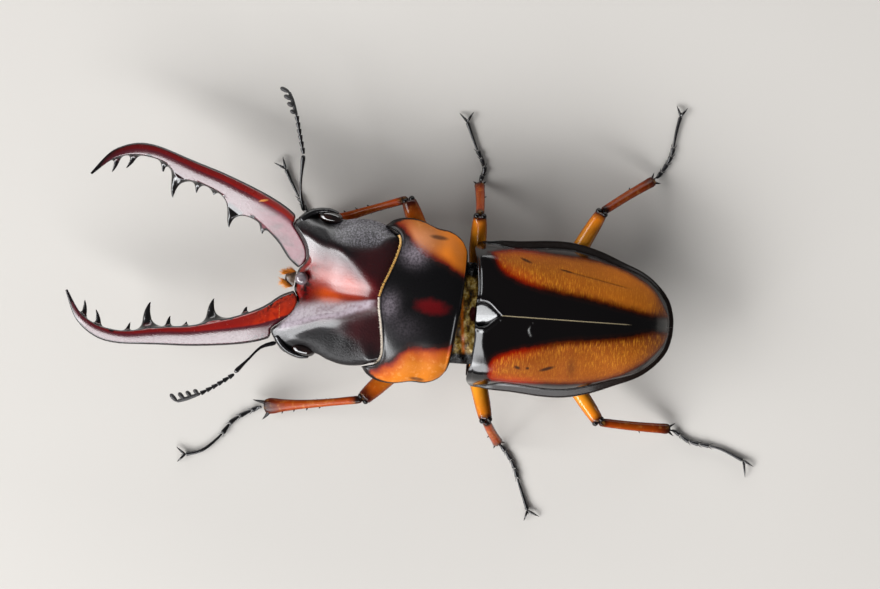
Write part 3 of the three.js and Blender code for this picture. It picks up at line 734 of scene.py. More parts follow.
# Half width of the black middle, against y.
black_half = {
    1: through((-5.7, 9.8), (-3, 8), (-1.5, 6.4), (-0.5, 5.5), (1.6, 5.2), (3, 5), (4.3, 4.5), (5.2, 4.3)),
    -1: through(
        (-5.8, 9.9), (-4.2, 9.2), (-2.2, 7), (-1.1, 6.2), (0.6, 5.8), (2.3, 5.3), (3.4, 4.7), (4.9, 4.1),
    ),
}


def pronotum_place(s, t):
    """x, y and top height of the pronotum at s across and t along, and the distance from its rim."""
    side = np.abs(s)
    y = mix(pronotum_front(side), pronotum_rear(side), t)
    x = s * pronotum_side(t)
    crown = 14.2 - 1.1 * (1 - t) ** 2 - 1.1 * t**4
    z = mix(8.7, crown, (1 - side**2.6) ** (1 / 1.8))
    d_side = (1 - side) * pronotum_side(t)
    d_front, d_rear = t * 9.8, (1 - t) * 10.2
    rim = np.minimum(d_side, np.minimum(d_front, d_rear))
    bead = 0.1 * bell(rim - 0.15, 0.12) - 0.25 * (1 - held(rim / 0.12)) ** 2
    bead += 0.26 * bell(d_rear - 0.35, 0.24) * share(x, -1, 1)
    return x, y, z + bead, rim


def pronotum():
    s, t = sheet(261, eased(190, 0.75))
    x, y, z, rim = pronotum_place(s, t)
    z = z - 0.06 * bell(x, 0.8) * bell(t - 0.55, 0.35) - 0.25 * bell(np.hypot(np.abs(x) - 6.6, y - 1.2), 1.6)
    roof = mix(8.35, 14.2 - 3.2 - 1.1 * (1 - t) ** 2, (1 - np.abs(s) ** 2.6) ** (1 / 1.8))
    patch = np.zeros_like(x)
    for side in (1, -1):
        slant = slant_of(black_half[side], y, np.linspace(-6, 6, 300))
        patch = np.where(x * side >= 0, (np.abs(x) - black_half[side](y)) / slant, patch)
    blots = sum(
        share(np.hypot((y - at) / long, (x - off) / wide), 1.3, 0.5)
        for at, long, off, wide in ((1.3, 1, 9.6, 0.25), (1, 1.2, -8.9, 0.3))
    )
    return shell(
        (x, y, z), (x, y, np.minimum(roof, z - 0.45)),
        patch=patch,
        rim=rim,
        spot=1.45 - np.hypot((y - 1.6) / 2.3, (x - 0.1) / 1.1),
        spots=blots * 0.75,
        # bloom: painted reflections, grey satin patches
        bloom=0.55 * blob(x - 0.8, 1.5, y + 3.9, 1.1) + 1 * blob(x + 6.3, 1.3, y + 1.7, 1.5)
        + 0.12 * blob(x - 3.4, 1.6, y + 1.6, 2.2),
        # peach: painted highlight on the front of the right patch
        peach=0.75 * blob(x + 8.4, 1.6, y + 1.2, 3.2) * share(patch, 0.3, 1.5),
        lit=0.7 * share(patch, 0.3, 1.6) * share(x, 0, -1) * share(y, -0.5, 2.5),
    )


def fringe(low, high):
    """Hairs that line the front margin of the pronotum, from s = low to s = high."""
    count, forward = 1100, 0.36
    s = rng.uniform(low, high, count)
    x, y, z, _ = pronotum_place(s, np.full(count, 0.01))
    roots = np.stack([x, y + rng.uniform(0, 0.12, count), z - rng.uniform(0.05, 0.3, count)], -1)
    slope = np.gradient(pronotum_front(np.linspace(0, 1, 200)), 1 / 199)
    lean = np.interp(np.abs(s), np.linspace(0, 1, 200), slope) * np.sign(s) / 9.5
    ahead = unit(np.stack([lean, -np.ones(count), -rng.uniform(0.35, 0.75, count)], -1))
    sway = rng.normal(0, 0.09, (count, 3))
    return hairs(roots, roots + (ahead + sway) * forward * rng.uniform(0.8, 1.15, (count, 1)), 0.028, 0.06)


def prosternum():
    s, t = sheet(81, eased(60))
    x, y, z, _ = pronotum_place(s, t)
    y = mix(y, mix(-3.4, 4.6, t), 0.75)
    keel = 4.9 + 0.9 * (2 * t - 1) ** 2
    under = mix(keel, 7.6, s**2) - 0.35 * bell(s, 0.12) * np.sin(np.pi * t)
    top = np.maximum(np.minimum(z - 0.6, 8.3 + 2.2 * (1 - s**2)), under + 0.3)
    return shell((x * 0.93, y, top), (x * 0.93, y, under))


def collar():
    """The soft ring between the prothorax and the wing cases, wrinkled across."""
    s, t = sheet(161, np.linspace(0, 1, 50))
    x, y = s * 6.6, mix(-5.9, -2.4, t)
    wrinkle = 0.14 * np.sin(11 * t + 2 * np.sin(5 * s)) + 0.1 * np.sin(23 * s + 4 * t) * np.sin(9 * t)
    z = 8.4 + 2.7 * (1 - s**2 * 0.9) ** 0.5 + wrinkle - 0.3 * t
    return shell(
        (x, y, z), (x, y, 8.4 - 2.4 * (1 - s**2) ** 0.5),
        red=blob(x, 1.15, y + 3.35, 0.55) * 1.3,
        orange=bell(y + 4.75 - 0.1 * x, 0.2) * share(x, -3.5, -1.5),
        pale=share(np.abs(x - 0.2), 5.3, 4.6),
    )


def collar_paint():
    p = Paint("collar", IOR=1.45, Specular_IOR_Level=0.3)
    skin = p.ramp(
        p.noise(0.8, (1, 1.6, 1)) + p.noise(3, spread=0.5),
        (0.25, "0e0804"), (0.42, "4a3410"), (0.55, "8a6c28"), (0.7, "c0ac74"), (0.85, "d8cca4"),
    )
    skin = p.mix((p["red"] + p.noise(1.5, detail=2, spread=0.3)).step(0.5, 0.8), skin, "2c0304")
    p.cover("070505", (p["pale"], p.mix(p["orange"], skin, "a8560f")))
    p.set(Roughness=p.noise(4).step(0.3, 0.7, 0.2, 0.5))
    p.bump(p.noise(3.5, detail=4), 0.12, 0.8)
    return p


piece("pronotum_shield", pronotum(), PROTHORAX, PRONOTUM, "pronotum", "pronotum")
piece("front_fringe_right", fringe(-0.9, -0.01), PROTHORAX, GOLD_HAIR, "pronotum")
# The left half's paler hair is painted sheen.
piece("front_fringe_left", fringe(0, 0.93), PROTHORAX, LIT_PALE_HAIR, "pronotum")
piece("front_breast", prosternum(), PROTHORAX, UNDERSIDE, "underside", "prosternum")
piece("collar", collar(), BODY, collar_paint(), "black_cuticle", "mesothorax")


# ---------- hind thorax and abdomen
def belly(y0, y1, steps, sutures):
    s, t = sheet(121, eased(steps, 0.6))
    y = mix(y0, y1, t)
    x = s * np.maximum(np.interp(y, margin_y, margin_x) - 1.3, 0.05)
    r = np.maximum(np.abs(s), held((y - ELYTRA_CENTRE) / 13.2))
    z = mix(4.4, 6.7, r**2.6)
    for at in sutures:
        z = z + 0.16 * bell(y - at, 0.1) - 0.08 * share(y, at - 1.2, at) * share(y, at + 0.05, at)
    if not sutures:
        z = z + 0.18 * bell(x, 0.12)
    roof = np.maximum(z + 0.4, mix(12.3, 7.3, r**3) - 3.5 * share(y, -2, -3.5))
    return shell((x, y, roof), (x, y, z))


piece("hind_breast", belly(-3.7, 6.8, 90, ()), BODY, UNDERSIDE, "underside", "metasternum")
STERNITES = (9.5, 12.1, 14.6, 17, 19.2)
piece("belly_plates", belly(7, 21.9, 200, STERNITES), BODY, UNDERSIDE, "underside", "abdomen")

# ---------- head
head_side = through(
    (0, 7.5), (0.06, 8.6), (0.14, 9.5), (0.22, 9.5), (0.3, 9), (0.44, 8.9), (0.55, 9.35), (0.7, 9.6),
    (0.86, 9.2), (1, 8.2),
)
head_front = through(
    (0, -11.05), (0.18, -11), (0.3, -10.4), (0.42, -10.2), (0.6, -10.7), (0.78, -11.8), (0.92, -12.75),
    (1, -12.7),
)
# The hollow's edge on each side, the outer limit of the convex ridge beside it, and heights, all against y.
ridge = {
    1: through((-12.7, 6.5), (-11.4, 6), (-8.7, 4.6), (-6.7, 3.6), (-4.5, 2.9), (-0.9, 1), (1.2, 0.4)),
    -1: through((-12.7, 6.3), (-10.7, 5.7), (-8.7, 5), (-6.6, 4.8), (-4.5, 3.7), (-0.9, 1), (1.2, 0.4)),
}
temple = through(
    (-12.7, 9), (-11.7, 8.6), (-8.8, 6.5), (-6.6, 5.4), (-4.4, 5.2), (-1.6, 5.8), (0, 8), (1.2, 9),
)
ridge_z = through(
    (-12.7, 10.1), (-11, 10.7), (-9.2, 11.2), (-6.5, 11.7), (-4, 12.05), (-1, 12.2), (1.2, 11.9),
)
hollow_z = through(
    (-11.1, 8.3), (-10, 8.45), (-8.5, 8.75), (-7.2, 9), (-6, 9.35), (-4.5, 10), (-3, 10.75), (-1.8, 11.35),
    (-0.9, 11.75), (1.2, 11.9),
)
HEAD_RIM = 8.3
VALLEY = 0.7  # how far the hollow's lowest line lies to the left of the middle


def orbit(x, y):
    """The dip of the head's margin that each eye sits in."""
    return blob(y + 8.8, 1.9, np.abs(x) - 8.6, 0.7)


def head_place(s, t):
    """x, y and top height of the head, how far down its side a point is, and the distance from its front."""
    side = np.abs(s)
    x = s * head_side(t)
    rear = pronotum_front(np.minimum(np.abs(x) / 9.3, 0.93)) + 5.42 + 0.5
    y = mix(head_front(side), rear, t)
    off, margin = np.abs(x), head_side(t)
    left = x > 0
    c = np.where(left, ridge[1](y), ridge[-1](y))
    flat = np.clip(temple(y), c + 0.05, np.maximum(margin - 0.6, c + 0.1))
    valley = VALLEY * held(c / 4)
    climb = np.hypot(x - valley, 1) - 1
    inside = mix(hollow_z(y), ridge_z(y), held(climb / (c - 0.3 - valley * np.sign(x - valley))))
    brow = held((off - c) / (flat - c))
    fall = np.where(left, 0.56, mix(0.24, 0.52, share(y, -5, -8)))
    drop = fall * (flat - c) * brow**1.2
    near = 0.56 * (1.8 - ramp_up(1.8 - np.maximum(off - c, 0), 0.4))
    top = ridge_z(y) - np.where(left, mix(drop, near, share(y, -5.5, -3)), drop)
    down = held((off - flat) / np.maximum(margin - flat, 0.3))
    z = np.where(off < c, inside, mix(HEAD_RIM, top, (1 - down) ** np.where(left, 0.25, 0.7)))
    for axis in (0, 1):
        z = np.apply_along_axis(smoothed, axis, z, 6)
    z = z - 0.8 * orbit(x, y)
    front = y - head_front(side)
    bevel = mix(0.3, 1.3, share(side, 0.45, 0.25))
    z = z - mix(0.5, 1.1, share(side, 0.45, 0.2)) * (1 - held(front / bevel)) ** 2
    return x, y, z, down, front


def skull():
    s, t = sheet(241, eased(200, 0.6))
    x, y, z, down, front = head_place(s, t)
    round_ = (1 - np.abs(s) ** 3) ** 0.5
    under = mix(7.6, 4.9 + 1.4 * (1 - t) ** 2, round_)
    off, left_crest = np.abs(x), ridge[1](y)
    left_side = share(down, 0.05, 0.35) * (x > 0)
    return shell(
        (x, y, z), (x, y, np.minimum(under, z - 0.6)),
        middle=share(off / np.maximum(ridge[-1](y), 2.5), 1.25, 0.2) * share(y, 1.5, -4.5)
        + 0.25 * share(y, -6, -2) * share(off, 8.5, 5),
        glow=blob(y + 6.4, 1.9, x - 1.25, 1.05),
        front=bell((y + 9.7) / 1.2, 1) * share(off, 3.2, 2.2),
        satin=held(share(down, 0, 0.15) + share(y, -6.5, -3.5) * share(off, 0.5, 2.5)),
        # matte: rougher, and painted shade on the left side of the head
        matte=left_side * share(y, -2, -5),
        dull=left_side + 0.52 * share(y, -9.5, -4) * share(x, 1.5, -1.5),
        sheen=0.85 * share(x / left_crest, 0.45, 0.8) * share(x - left_crest, 1.2, 0.2)
        * share(y, -12.4, -11) * share(y, 0.2, -1.2),
        # frost: painted sheen on the right side of the head, with its grain
        frost=share(down, 0.02, 0.35) * share(y, -8.5, -6) * share(y, 1, -1.5) * (x < 0),
        # dark: the steep sides and the eye sockets darker, and the front face darkened as painted shade
        dark=held(
            share(down, 0, 0.3) * mix(1, 0.75, share(y, -3, -1)) + share(front, 0.5, 0.2)
            + share(orbit(x, y), 0.1, 0.4)
        ),
    )


def canthus():
    """The bar that crosses the front of the eye."""
    path = [(7.5, -12, 9.1), (8.6, -11.1, 9), (9.25, -10.1, 8.9), (9.6, -8.6, 8.7), (9.45, -7.3, 8.4)]
    wide = through((0, 0.55), (0.4, 0.42), (0.8, 0.34), (1, 0.25))
    return limb(path, wide, through((0, 0.7), (1, 0.5)), count=50)


def labrum():
    s, t = sheet(41, eased(30))
    x, y = s * mix(0.5, 1, t**0.7), mix(-12.5, -11.2, t)
    z = 7.9 - 0.25 * s**2 - 0.4 * (1 - t) ** 3
    return shell((x, y, z), (x, y, np.full_like(x, 7.0)))


def labrum_hairs():
    count = 420
    t, side = rng.uniform(0, 1, count), rng.choice([-1, 1], count)
    x = side * mix(0.35, 1, t**0.7)
    roots = np.stack([x, mix(-12.5, -11.3, t), np.full(count, 7.7)], -1)
    aside, ahead, rise = (
        0.2 * x + rng.normal(0, 0.3, count), -rng.uniform(0.6, 1.2, count), rng.uniform(-0.2, 0.5, count),
    )
    reach = unit(np.stack([aside, ahead, rise], -1)) * rng.uniform(0.4, 1.15, (count, 1))
    return hairs(roots, roots + reach, 0.04, 0.05)


def palp():
    size = through(
        (0, 0.27), (0.12, 0.4), (0.3, 0.36), (0.34, 0.24), (0.5, 0.42), (0.64, 0.34), (0.68, 0.22),
        (0.84, 0.44), (1, 0.3),
    )
    path = [(1.6, -9.2, 5.4), (3, -11.2, 5), (4.6, -12.8, 5.2), (5.4, -14, 5.3)]
    return limb(path, size, blunt=(0.2, 0.4), count=90)


piece("skull", skull(), HEAD, SKULL, "head_cuticle", "head")
piece("labrum_plate", labrum(), HEAD, LIP, "mouth_parts", "labrum")
piece("labrum_hairs", labrum_hairs(), HEAD, ORANGE_HAIR, "mouth_parts")
piece("clypeus_knob", ball((-0.28, -10.3, 9.3), (0.86, 0.86, 0.7)), HEAD, KNOB, "mouth_parts")
for name, flip in (("left", lambda k: k), ("right", Skin.mirrored)):
    eyeball = ball((8.75, -8.3, 8.3), (0.95, 1.7, 1.3))
    piece(f"eyeball_{name}", flip(eyeball), HEAD, EYE, "eye", f"eye_{name}")
    piece(f"canthus_{name}", flip(canthus()), HEAD, BLACK, "head_cuticle")
    piece(f"feeding_palp_{name}", flip(palp()), HEAD, MOUTH, "mouth_parts", f"palp_{name}")

# ---------- jaws
# The left jaw from root to tip: x and y of the outer edge, x and y of the inner edge, height and thickness.
JAW_STATIONS = np.array([
    (7, -11, 0.6, -9.8, 7.9, 3.3), (7.8, -12.3, 1.5, -11.1, 7.9, 3.4), (8.6, -13.5, 2.4, -12.6, 7.9, 3.4),
    (9.25, -14.9, 4.1, -14.2, 7.9, 3.4), (9.9, -16.7, 5.5, -16.2, 7.8, 3.3),
    (10.5, -18.8, 6.75, -18.5, 7.7, 3.1), (11.05, -21, 7.85, -21, 7.6, 2.9),
    (11.6, -23.5, 8.95, -23.6, 7.5, 2.7), (12.05, -26.2, 9.6, -26.3, 7.5, 2.6),
    (12.55, -28.9, 10.5, -28.9, 7.5, 2.4), (13.05, -31.5, 11.3, -31.4, 7.6, 2.1),
    (13.15, -33.7, 11.45, -33.3, 7.7, 1.8), (12.75, -35.5, 11.3, -35.1, 7.8, 1.5),
    (11.75, -37.3, 10.7, -36.7, 7.9, 1.2), (10.45, -38.55, 9.8, -38, 8, 0.9),
    (7.8, -40.05, 7.55, -39.85, 8.1, 0.35),
])
# Its teeth: base point, tip, base radius, how far the middle bows sideways, and how softly the foot flares.
JAW_TEETH = [
    ((10.5, -37.1), (8.45, -37.4), 0.36, -0.12, 0.5), ((11.5, -35), (9.4, -35.7), 0.4, -0.15, 0.6),
    ((11.5, -31.2), (10.1, -31), 0.32, 0, 0.5), ((10.6, -28.3), (6.9, -29), 0.8, 0.4, 2),
    ((9.8, -26), (8.15, -26.1), 0.4, 0.1, 0.6), ((9.2, -23.9), (8.4, -23.85), 0.3, 0, 0.5),
    ((8.1, -20.1), (4.7, -21), 0.85, 0.45, 2.2), ((5.9, -16.6), (4.8, -16.55), 0.36, 0.1, 0.5),
]
VOXEL = 0.085
# The ridge's place on each jaw, from -1 on the outer edge to 1 on the inner one, against its length's share.
RIDGE_AT = {
    1: through((0, -0.2), (0.15, 0), (0.35, 0.3), (0.5, 0.45), (0.7, 0.6), (0.85, 0.7), (1, 0.7)),
    -1: through((0, -0.75), (0.15, -0.6), (0.3, -0.4), (0.5, -0.25), (0.7, -0.1), (0.85, 0.1), (1, 0.4)),
}
FACE_SLOPE = 0.55  # of the faces beside the ridge
JAW_TURN = 0.4  # how far each jaw is swung towards the beetle's right, in degrees

station_at = np.linspace(0, 1, len(JAW_STATIONS))
fine_at = np.linspace(0, 1, 500)
jaw_line = np.stack([
    smoothed(through(*zip(station_at, column))(fine_at), 12) for column in JAW_STATIONS.T
], -1)
jaw_outer, jaw_inner = jaw_line[:, 0:2], jaw_line[:, 2:4]
jaw_middle = (jaw_outer + jaw_inner) / 2


def outward(line, other):
    """Unit normals of a line that point away from the other one."""
    along = unit(np.gradient(line, axis=0))
    normal = np.stack([along[:, 1], -along[:, 0]], -1)
    return normal * np.sign(np.einsum("ij,ij->i", normal, line - other))[:, None]


outer_normal, inner_normal = outward(jaw_outer, jaw_inner), outward(jaw_inner, jaw_outer)
tip_along = unit(jaw_middle[-1] - jaw_middle[-9])


def nearest(points, line):
    """The number of the nearest point of a line for each point."""
    found = np.empty(len(points), int)
    for start in range(0, len(points), 8000):
        x, y = points[start:start + 8000, :, None].transpose(1, 0, 2)
        found[start:start + 8000] = ((x - line[:, 0]) ** 2 + (y - line[:, 1]) ** 2).argmin(1)
    return found


def beyond(points, line, normal):
    k = nearest(points, line)
    return np.einsum("ij,ij->i", points - line[k], normal[k])


def on_blade(points):
    """Where points lie on the blade.

    Gives the number of the nearest cross section, the distances beyond the outer edge, the inner edge and the
    tip, -1 on the outer edge to 1 on the inner one, and half the blade's width.
    """
    past = np.where(points[:, 1] < -39, (points - jaw_middle[-1]) @ tip_along, -1)
    outer, inner = beyond(points, jaw_outer, outer_normal), beyond(points, jaw_inner, inner_normal)
    half = np.maximum(-outer - inner, 0.05) / 2
    across = np.clip((inner - outer) / (2 * half), -1.5, 1.5)
    return nearest(points, jaw_middle), outer, inner, past, across, half


def tooth_line(base, tip, bow):
    """Points along the middle of a tooth, and their shares of its length."""
    s = np.linspace(-0.15, 1, 60)[:, None]
    base, tip = np.array(base), np.array(tip)
    aside = unit(np.array([-(tip - base)[1], (tip - base)[0]]))
    return base * (1 - s) + tip * s + aside * bow * 4 * s * (1 - s), s[:, 0]


def soft_min(a, b, width):
    h = np.maximum(width - np.abs(a - b), 0) / width
    return np.minimum(a, b) - h * h * width / 4


def soft_max(a, b, width):
    return -soft_min(-a, -b, width)


def jaw_field(xs, ys, zs, side):
    """Distance from the jaw's surface on a grid, negative inside."""
    columns = np.stack(np.meshgrid(xs, ys, indexing="ij"), -1).reshape(-1, 2)
    k, outer, inner, past, across, wide = on_blade(columns)
    height, half = jaw_line[k, 4], jaw_line[k, 5] / 2
    z = zs[None, :] - height[:, None]
    roof = half + 0.1 - FACE_SLOPE * (np.hypot((across - RIDGE_AT[side](fine_at[k])) * wide, 0.38) - 0.1)
    roof = soft_max(roof, -0.45 * half, 0.6)
    keel = (0.85 - 0.25 * across**2) * half
    edge = np.maximum(np.maximum(outer, inner), past)[:, None]
    tall = (z - roof[:, None]) * 0.9
    deep = (-z - keel[:, None]) * 0.95
    field = soft_max(soft_max(tall, deep, 0.3), edge, 0.22 * np.minimum(half, wide)[:, None] + 0.04)
    for base, tip, radius, bow, flare in JAW_TEETH:
        line, s = tooth_line(base, tip, bow)
        near = np.abs(columns - (np.array(base) + np.array(tip)) / 2).max(1) < 4.2
        j = nearest(columns[near], line)
        size = radius * (1 - held(s[j])) ** 0.8 + 0.045
        flat = np.hypot(*(columns[near] - line[j]).T)
        tooth = (np.hypot(flat[:, None], (z[near] + 0.4) * 1.3) - size[:, None]) * 0.85
        reach = flare * (0.6 if side > 0 else 1) * share(inner[near], -0.5, 0.05)[:, None] + 0.1
        field[near] = np.maximum(soft_min(field[near], tooth, reach), tall[near])
    socket = columns[:, 1] - (head_front(held(np.abs(columns[:, 0]) / 7.5)) - 0.1)
    field = soft_max(field, socket[:, None], 0.3)
    return field.reshape(len(xs), len(ys), len(zs))


def levelness(points, corners):
    """1 at points whose surface is level, and 0 where it is upright."""
    p, q, r = (points[corners[:, i]] for i in range(3))
    normal = np.cross(q - p, r - p)
    upward, total = np.zeros(len(points)), np.zeros(len(points))
    for i in range(3):
        np.add.at(upward, corners[:, i], normal[:, 2])
        np.add.at(total, corners[:, i], np.linalg.norm(normal, axis=1))
    return np.abs(upward / np.maximum(total, 1e-9))


def jaw(side):
    """A jaw in the left one's place; side is 1 for the left one and -1 for the right one."""
    xs, ys, zs = np.arange(0.2, 14.3, VOXEL), np.arange(-41.2, -9.6, VOXEL), np.arange(5.3, 10.3, VOXEL)
    grid = openvdb.FloatGrid(3.0)
    grid.copyFromArray(jaw_field(xs, ys, zs, side).astype(np.float32))
    points, triangles, quads = grid.convertToPolygons(isovalue=0.0, adaptivity=0.0)
    points = points.astype(float) * VOXEL + [xs[0], ys[0], zs[0]]
    corners = np.concatenate([triangles.reshape(-1, 3), quads[:, [0, 1, 2]], quads[:, [0, 2, 3]]]).astype(int)
    flat = points[:, :2]
    k, outer, inner, _, across, wide = on_blade(flat)
    level = 0.6 * share(levelness(points, corners), 0.5, 0.85)
    tooth, foot_of_tooth = np.zeros(len(points)), np.zeros(len(points))
    for base, tip, radius, bow, _ in JAW_TEETH:
        line, s = tooth_line(base, tip, bow)
        j = nearest(flat, line)
        away = np.hypot(*(flat - line[j]).T)
        black = share(inner, 0, 0.3) * share(s[j], 0.05, 0.3)
        tooth = np.maximum(tooth, np.where(away < radius + 0.3, black, 0))
        foot_of_tooth = np.maximum(foot_of_tooth, share(away, radius + 1.4, radius + 0.9))
    x, y = flat.T
    # The left jaw gets a pale crack line; the right jaw gets a painted orange glint.
    if side > 0:
        chip = 0.75 * bell(y + 12.2 - 0.21 * (x - 4.75), 0.07) * share(np.abs(x - 4.5), 1.2, 0.8)
    else:
        chip = blob(y + 17.2, 0.75, x - 9.1 - 0.35 * (y + 17.2), 0.2)
    return Skin(points, corners, {
        "along": fine_at[k],
        "edge": np.minimum(0.1 - outer, mix(-inner, level, foot_of_tooth * share(inner, -0.6, -0.2))),
        "tooth": tooth,
        # red: the face away from the key light; the other face has a purple base under its reflection, so the
        # split follows the light
        "red": share((across - RIDGE_AT[side](fine_at[k])) * side * wide, -0.35, 0.3),
        "root": share(y, -17, -13) * (side > 0),
        # blush: painted sheen on the right jaw's root
        "blush": share(y, -21, -14) * (side < 0),
        "chip": chip,
    })


def swung(skin, degrees):
    """A jaw turned a little about its hinge."""
    hinge = np.array([6.0, -11.0, 0.0])
    return Skin(Place(0, 0, degrees).out(skin.points - hinge) + hinge, skin.corners, skin.marks)


piece("jaw_left", swung(jaw(1), -JAW_TURN), HEAD, JAW, "mandible", "mandible_left")
piece("jaw_right", swung(jaw(-1), JAW_TURN).mirrored(), HEAD, JAW, "mandible", "mandible_right")

# ---------- feelers
# The points of the stalk, the beads and the comb, and the way the comb's leaves stick out.
FEELERS = {
    "left": (
        [(8.6, -11.9, 7.3), (9.6, -13.65, 8), (11.4, -14.9, 8.5), (13.5, -16.3, 8.8)],
        [(13.7, -16.3, 8.8), (15.6, -18.3, 8.3), (17.1, -20.1, 7.9)],
        [(17.1, -20.1, 7.9), (18.1, -21.7, 7.6), (18.8, -23, 7.4)],
        (-0.6, -0.8, -0.1),
    ),
    "right": (
        [(-8.9, -11.9, 7.3), (-10.6, -12.6, 8), (-12.4, -13, 8.5), (-16, -13.4, 8.9)],
        [(-16.1, -13.4, 8.9), (-18.6, -14.45, 8.4), (-20.8, -15.35, 8)],
        [(-20.8, -15.35, 8), (-22.4, -16.2, 7.7), (-23.7, -17, 7.5)],
        (-0.25, -0.97, -0.1),
    ),
}
BEADS = 6
LEAVES = 4
stalk_size = through((0, 0.24), (0.08, 0.3), (0.4, 0.17), (0.7, 0.19), (0.93, 0.3), (1, 0.22))
stem_size = through((0, 0.2), (0.6, 0.26), (1, 0.2))
leaf_wide = through((0, 0.2), (0.5, 0.29), (1, 0.25))
leaf_high = through((0, 0.22), (0.55, 0.42), (1, 0.3))


def beads(t):
    """The radius of the row of beads."""
    part = np.mod(t * BEADS, 1)
    return 0.14 + 0.2 * part**0.7 * (1 - share(part, 0.88, 1))


def antenna_club(points, fan):
    path, _ = curve(points, 60)
    leaves = []
    for i in range(LEAVES):
        foot = path[int(mix(6, 58, i / (LEAVES - 1)))]
        tip = foot + np.array(fan) * mix(0.85, 1.3, i / (LEAVES - 1))
        bent = [foot, mix(foot, tip, 0.5) + [0, 0, 0.04], tip]
        leaves.append(limb(bent, leaf_wide, leaf_high, count=30, sides=14))
    return joined(limb(points, stem_size, count=50, sides=12), *leaves)


for name, (scape, whip, club, fan) in FEELERS.items():
    stalk = limb(scape, stalk_size)
    beaded = limb(whip, beads, count=150, sides=14, blunt=(0.05, 0.1))
    piece(f"feeler_{name}_stalk", stalk, HEAD, BLACK, "black_cuticle", f"antenna_{name}_scape")
    piece(f"feeler_{name}_beads", beaded, HEAD, BLACK, "black_cuticle", f"antenna_{name}_funicle")
    piece(f"feeler_{name}_comb", antenna_club(club, fan), HEAD, CLUB, "antenna_club", f"antenna_{name}_club")

# ---------- legs
Leg = namedtuple("Leg", "hip knee ankle foot claws")
# Points of each leg. The foot's points and the claws' tips are x and y.
LEGS = {
    "front_left": Leg(
        (2.5, -7.6, 5.3), (12.2, -16.9, 6.4), (14.2, -29.9, 1.1),
        [(14.6, -31), (16.3, -33.8), (18.6, -35.5), (20.6, -37.7), (21.3, -39.9)],
        [(20.4, -41.1), (22.4, -40.9)],
    ),
    "front_right": Leg(
        (-3.3, -7.9, 5.3), (-14.3, -12.8, 6.4), (-10.1, -24.2, 1.1),
        [(-10.6, -24.9), (-12.3, -26.4), (-14.9, -28), (-17.3, -29.3)],
        [(-18.9, -29.8), (-18, -30.9)],
    ),
    "middle_left": Leg(
        (4.1, -3.3, 5), (13.8, -0.65, 8.5), (16.9, 1.3, 0.9),
        [(17.5, 2), (19.4, 3.4), (22.2, 4.5), (25.5, 5.8)],
        [(26.9, 5.4), (26.2, 7.4)],
    ),
    "middle_right": Leg(
        (-4.1, -3.3, 5), (-12.8, -3.3, 8.5), (-17.1, -3.6, 0.9),
        [(-17.9, -3.4), (-19.3, -3.1), (-22.2, -4.5), (-25.2, -5.8)],
        [(-26.6, -5), (-26.3, -6.9)],
    ),
    "hind_left": Leg(
        (3.6, 7, 5), (13, 14.1, 5.6), (13.4, 23.8, 0.9),
        [(13.8, 24.7), (14.9, 26.6), (15.5, 30.4), (16.9, 33.8)],
        [(19.1, 34.2), (17.6, 35.2)],
    ),
    "hind_right": Leg(
        (-3.6, 7, 5), (-14.4, 12.55, 7.2), (-19.2, 19.4, 0.9),
        [(-20.2, 20.2), (-22.5, 21.4), (-25.9, 21.9), (-27.9, 22.3)],
        [(-29.3, 21.7), (-29.1, 23.2)],
    ),
}
# Half width and half height of the thighs.
THIGHS = {"front": (1.28, 1.15), "middle": (1.12, 1), "hind": (1.08, 1)}
hip_size = through((0, 0.75), (0.5, 0.85), (1, 0.7))
thigh_size = through(
    (0, 0.45), (0.08, 0.62), (0.22, 0.86), (0.45, 1), (0.65, 0.97), (0.82, 0.9), (0.93, 0.8), (1, 0.68),
)
digging_wide = through((0, 0.4), (0.05, 0.52), (0.3, 0.5), (0.6, 0.6), (0.8, 0.82), (0.93, 1.05), (1, 0.8))
walking_wide = through(
    (0, 0.38), (0.05, 0.54), (0.25, 0.58), (0.6, 0.62), (0.85, 0.66), (0.95, 0.68), (1, 0.48),
)
shin_high = through((0, 0.38), (0.1, 0.5), (0.6, 0.5), (0.9, 0.5), (1, 0.38))
# Spines of a shin: share of its length, start and reach outwards, reach forwards, radius and bow.
DIGGING_SPINES = [
    (0.97, -0.45, -1, 2, 0.27, 0.1), (0.94, 0.35, 1.75, 1.3, 0.4, -0.2), (0.42, 0.3, 0.85, 0.35, 0.24, 0),
    (0.55, 0.3, 0.98, 0.35, 0.24, 0), (0.68, 0.3, 1.05, 0.35, 0.24, 0), (0.8, 0.3, 1.2, 0.35, 0.24, 0),
]
WALKING_SPINES = [
    (0.97, -0.25, -0.85, 1, 0.2, 0.05), (0.97, 0.25, 0.9, 1, 0.22, -0.05), (0.97, 0.05, 0.3, 1.1, 0.16, 0),
    (0.55, 0.25, 0.95, 0.35, 0.2, 0),
]
segment_size = through((0, 0.14), (0.2, 0.2), (0.85, 0.33), (1, 0.3))
last_segment_size = through((0, 0.13), (0.15, 0.17), (0.7, 0.22), (1, 0.27))
claw_size = through((0, 0.14), (0.15, 0.17), (0.6, 0.12), (1, 0.02))
SEGMENT_ENDS = (0, 0.14, 0.28, 0.41, 0.54, 1)  # of a foot's length
FOOT_Z = 0.3
TIP_Z = 0.06  # of claws and of the feet's spines


def hip(leg):
    x, y, z = leg.hip
    cone = ball((x - math.copysign(0.5, x), y, z), (1.9, 1.15, 1.1))
    path = [leg.hip, mix(leg.hip, leg.knee, 0.12)]
    return joined(cone, limb(path, hip_size, blunt=(0.4, 0.3), count=30))


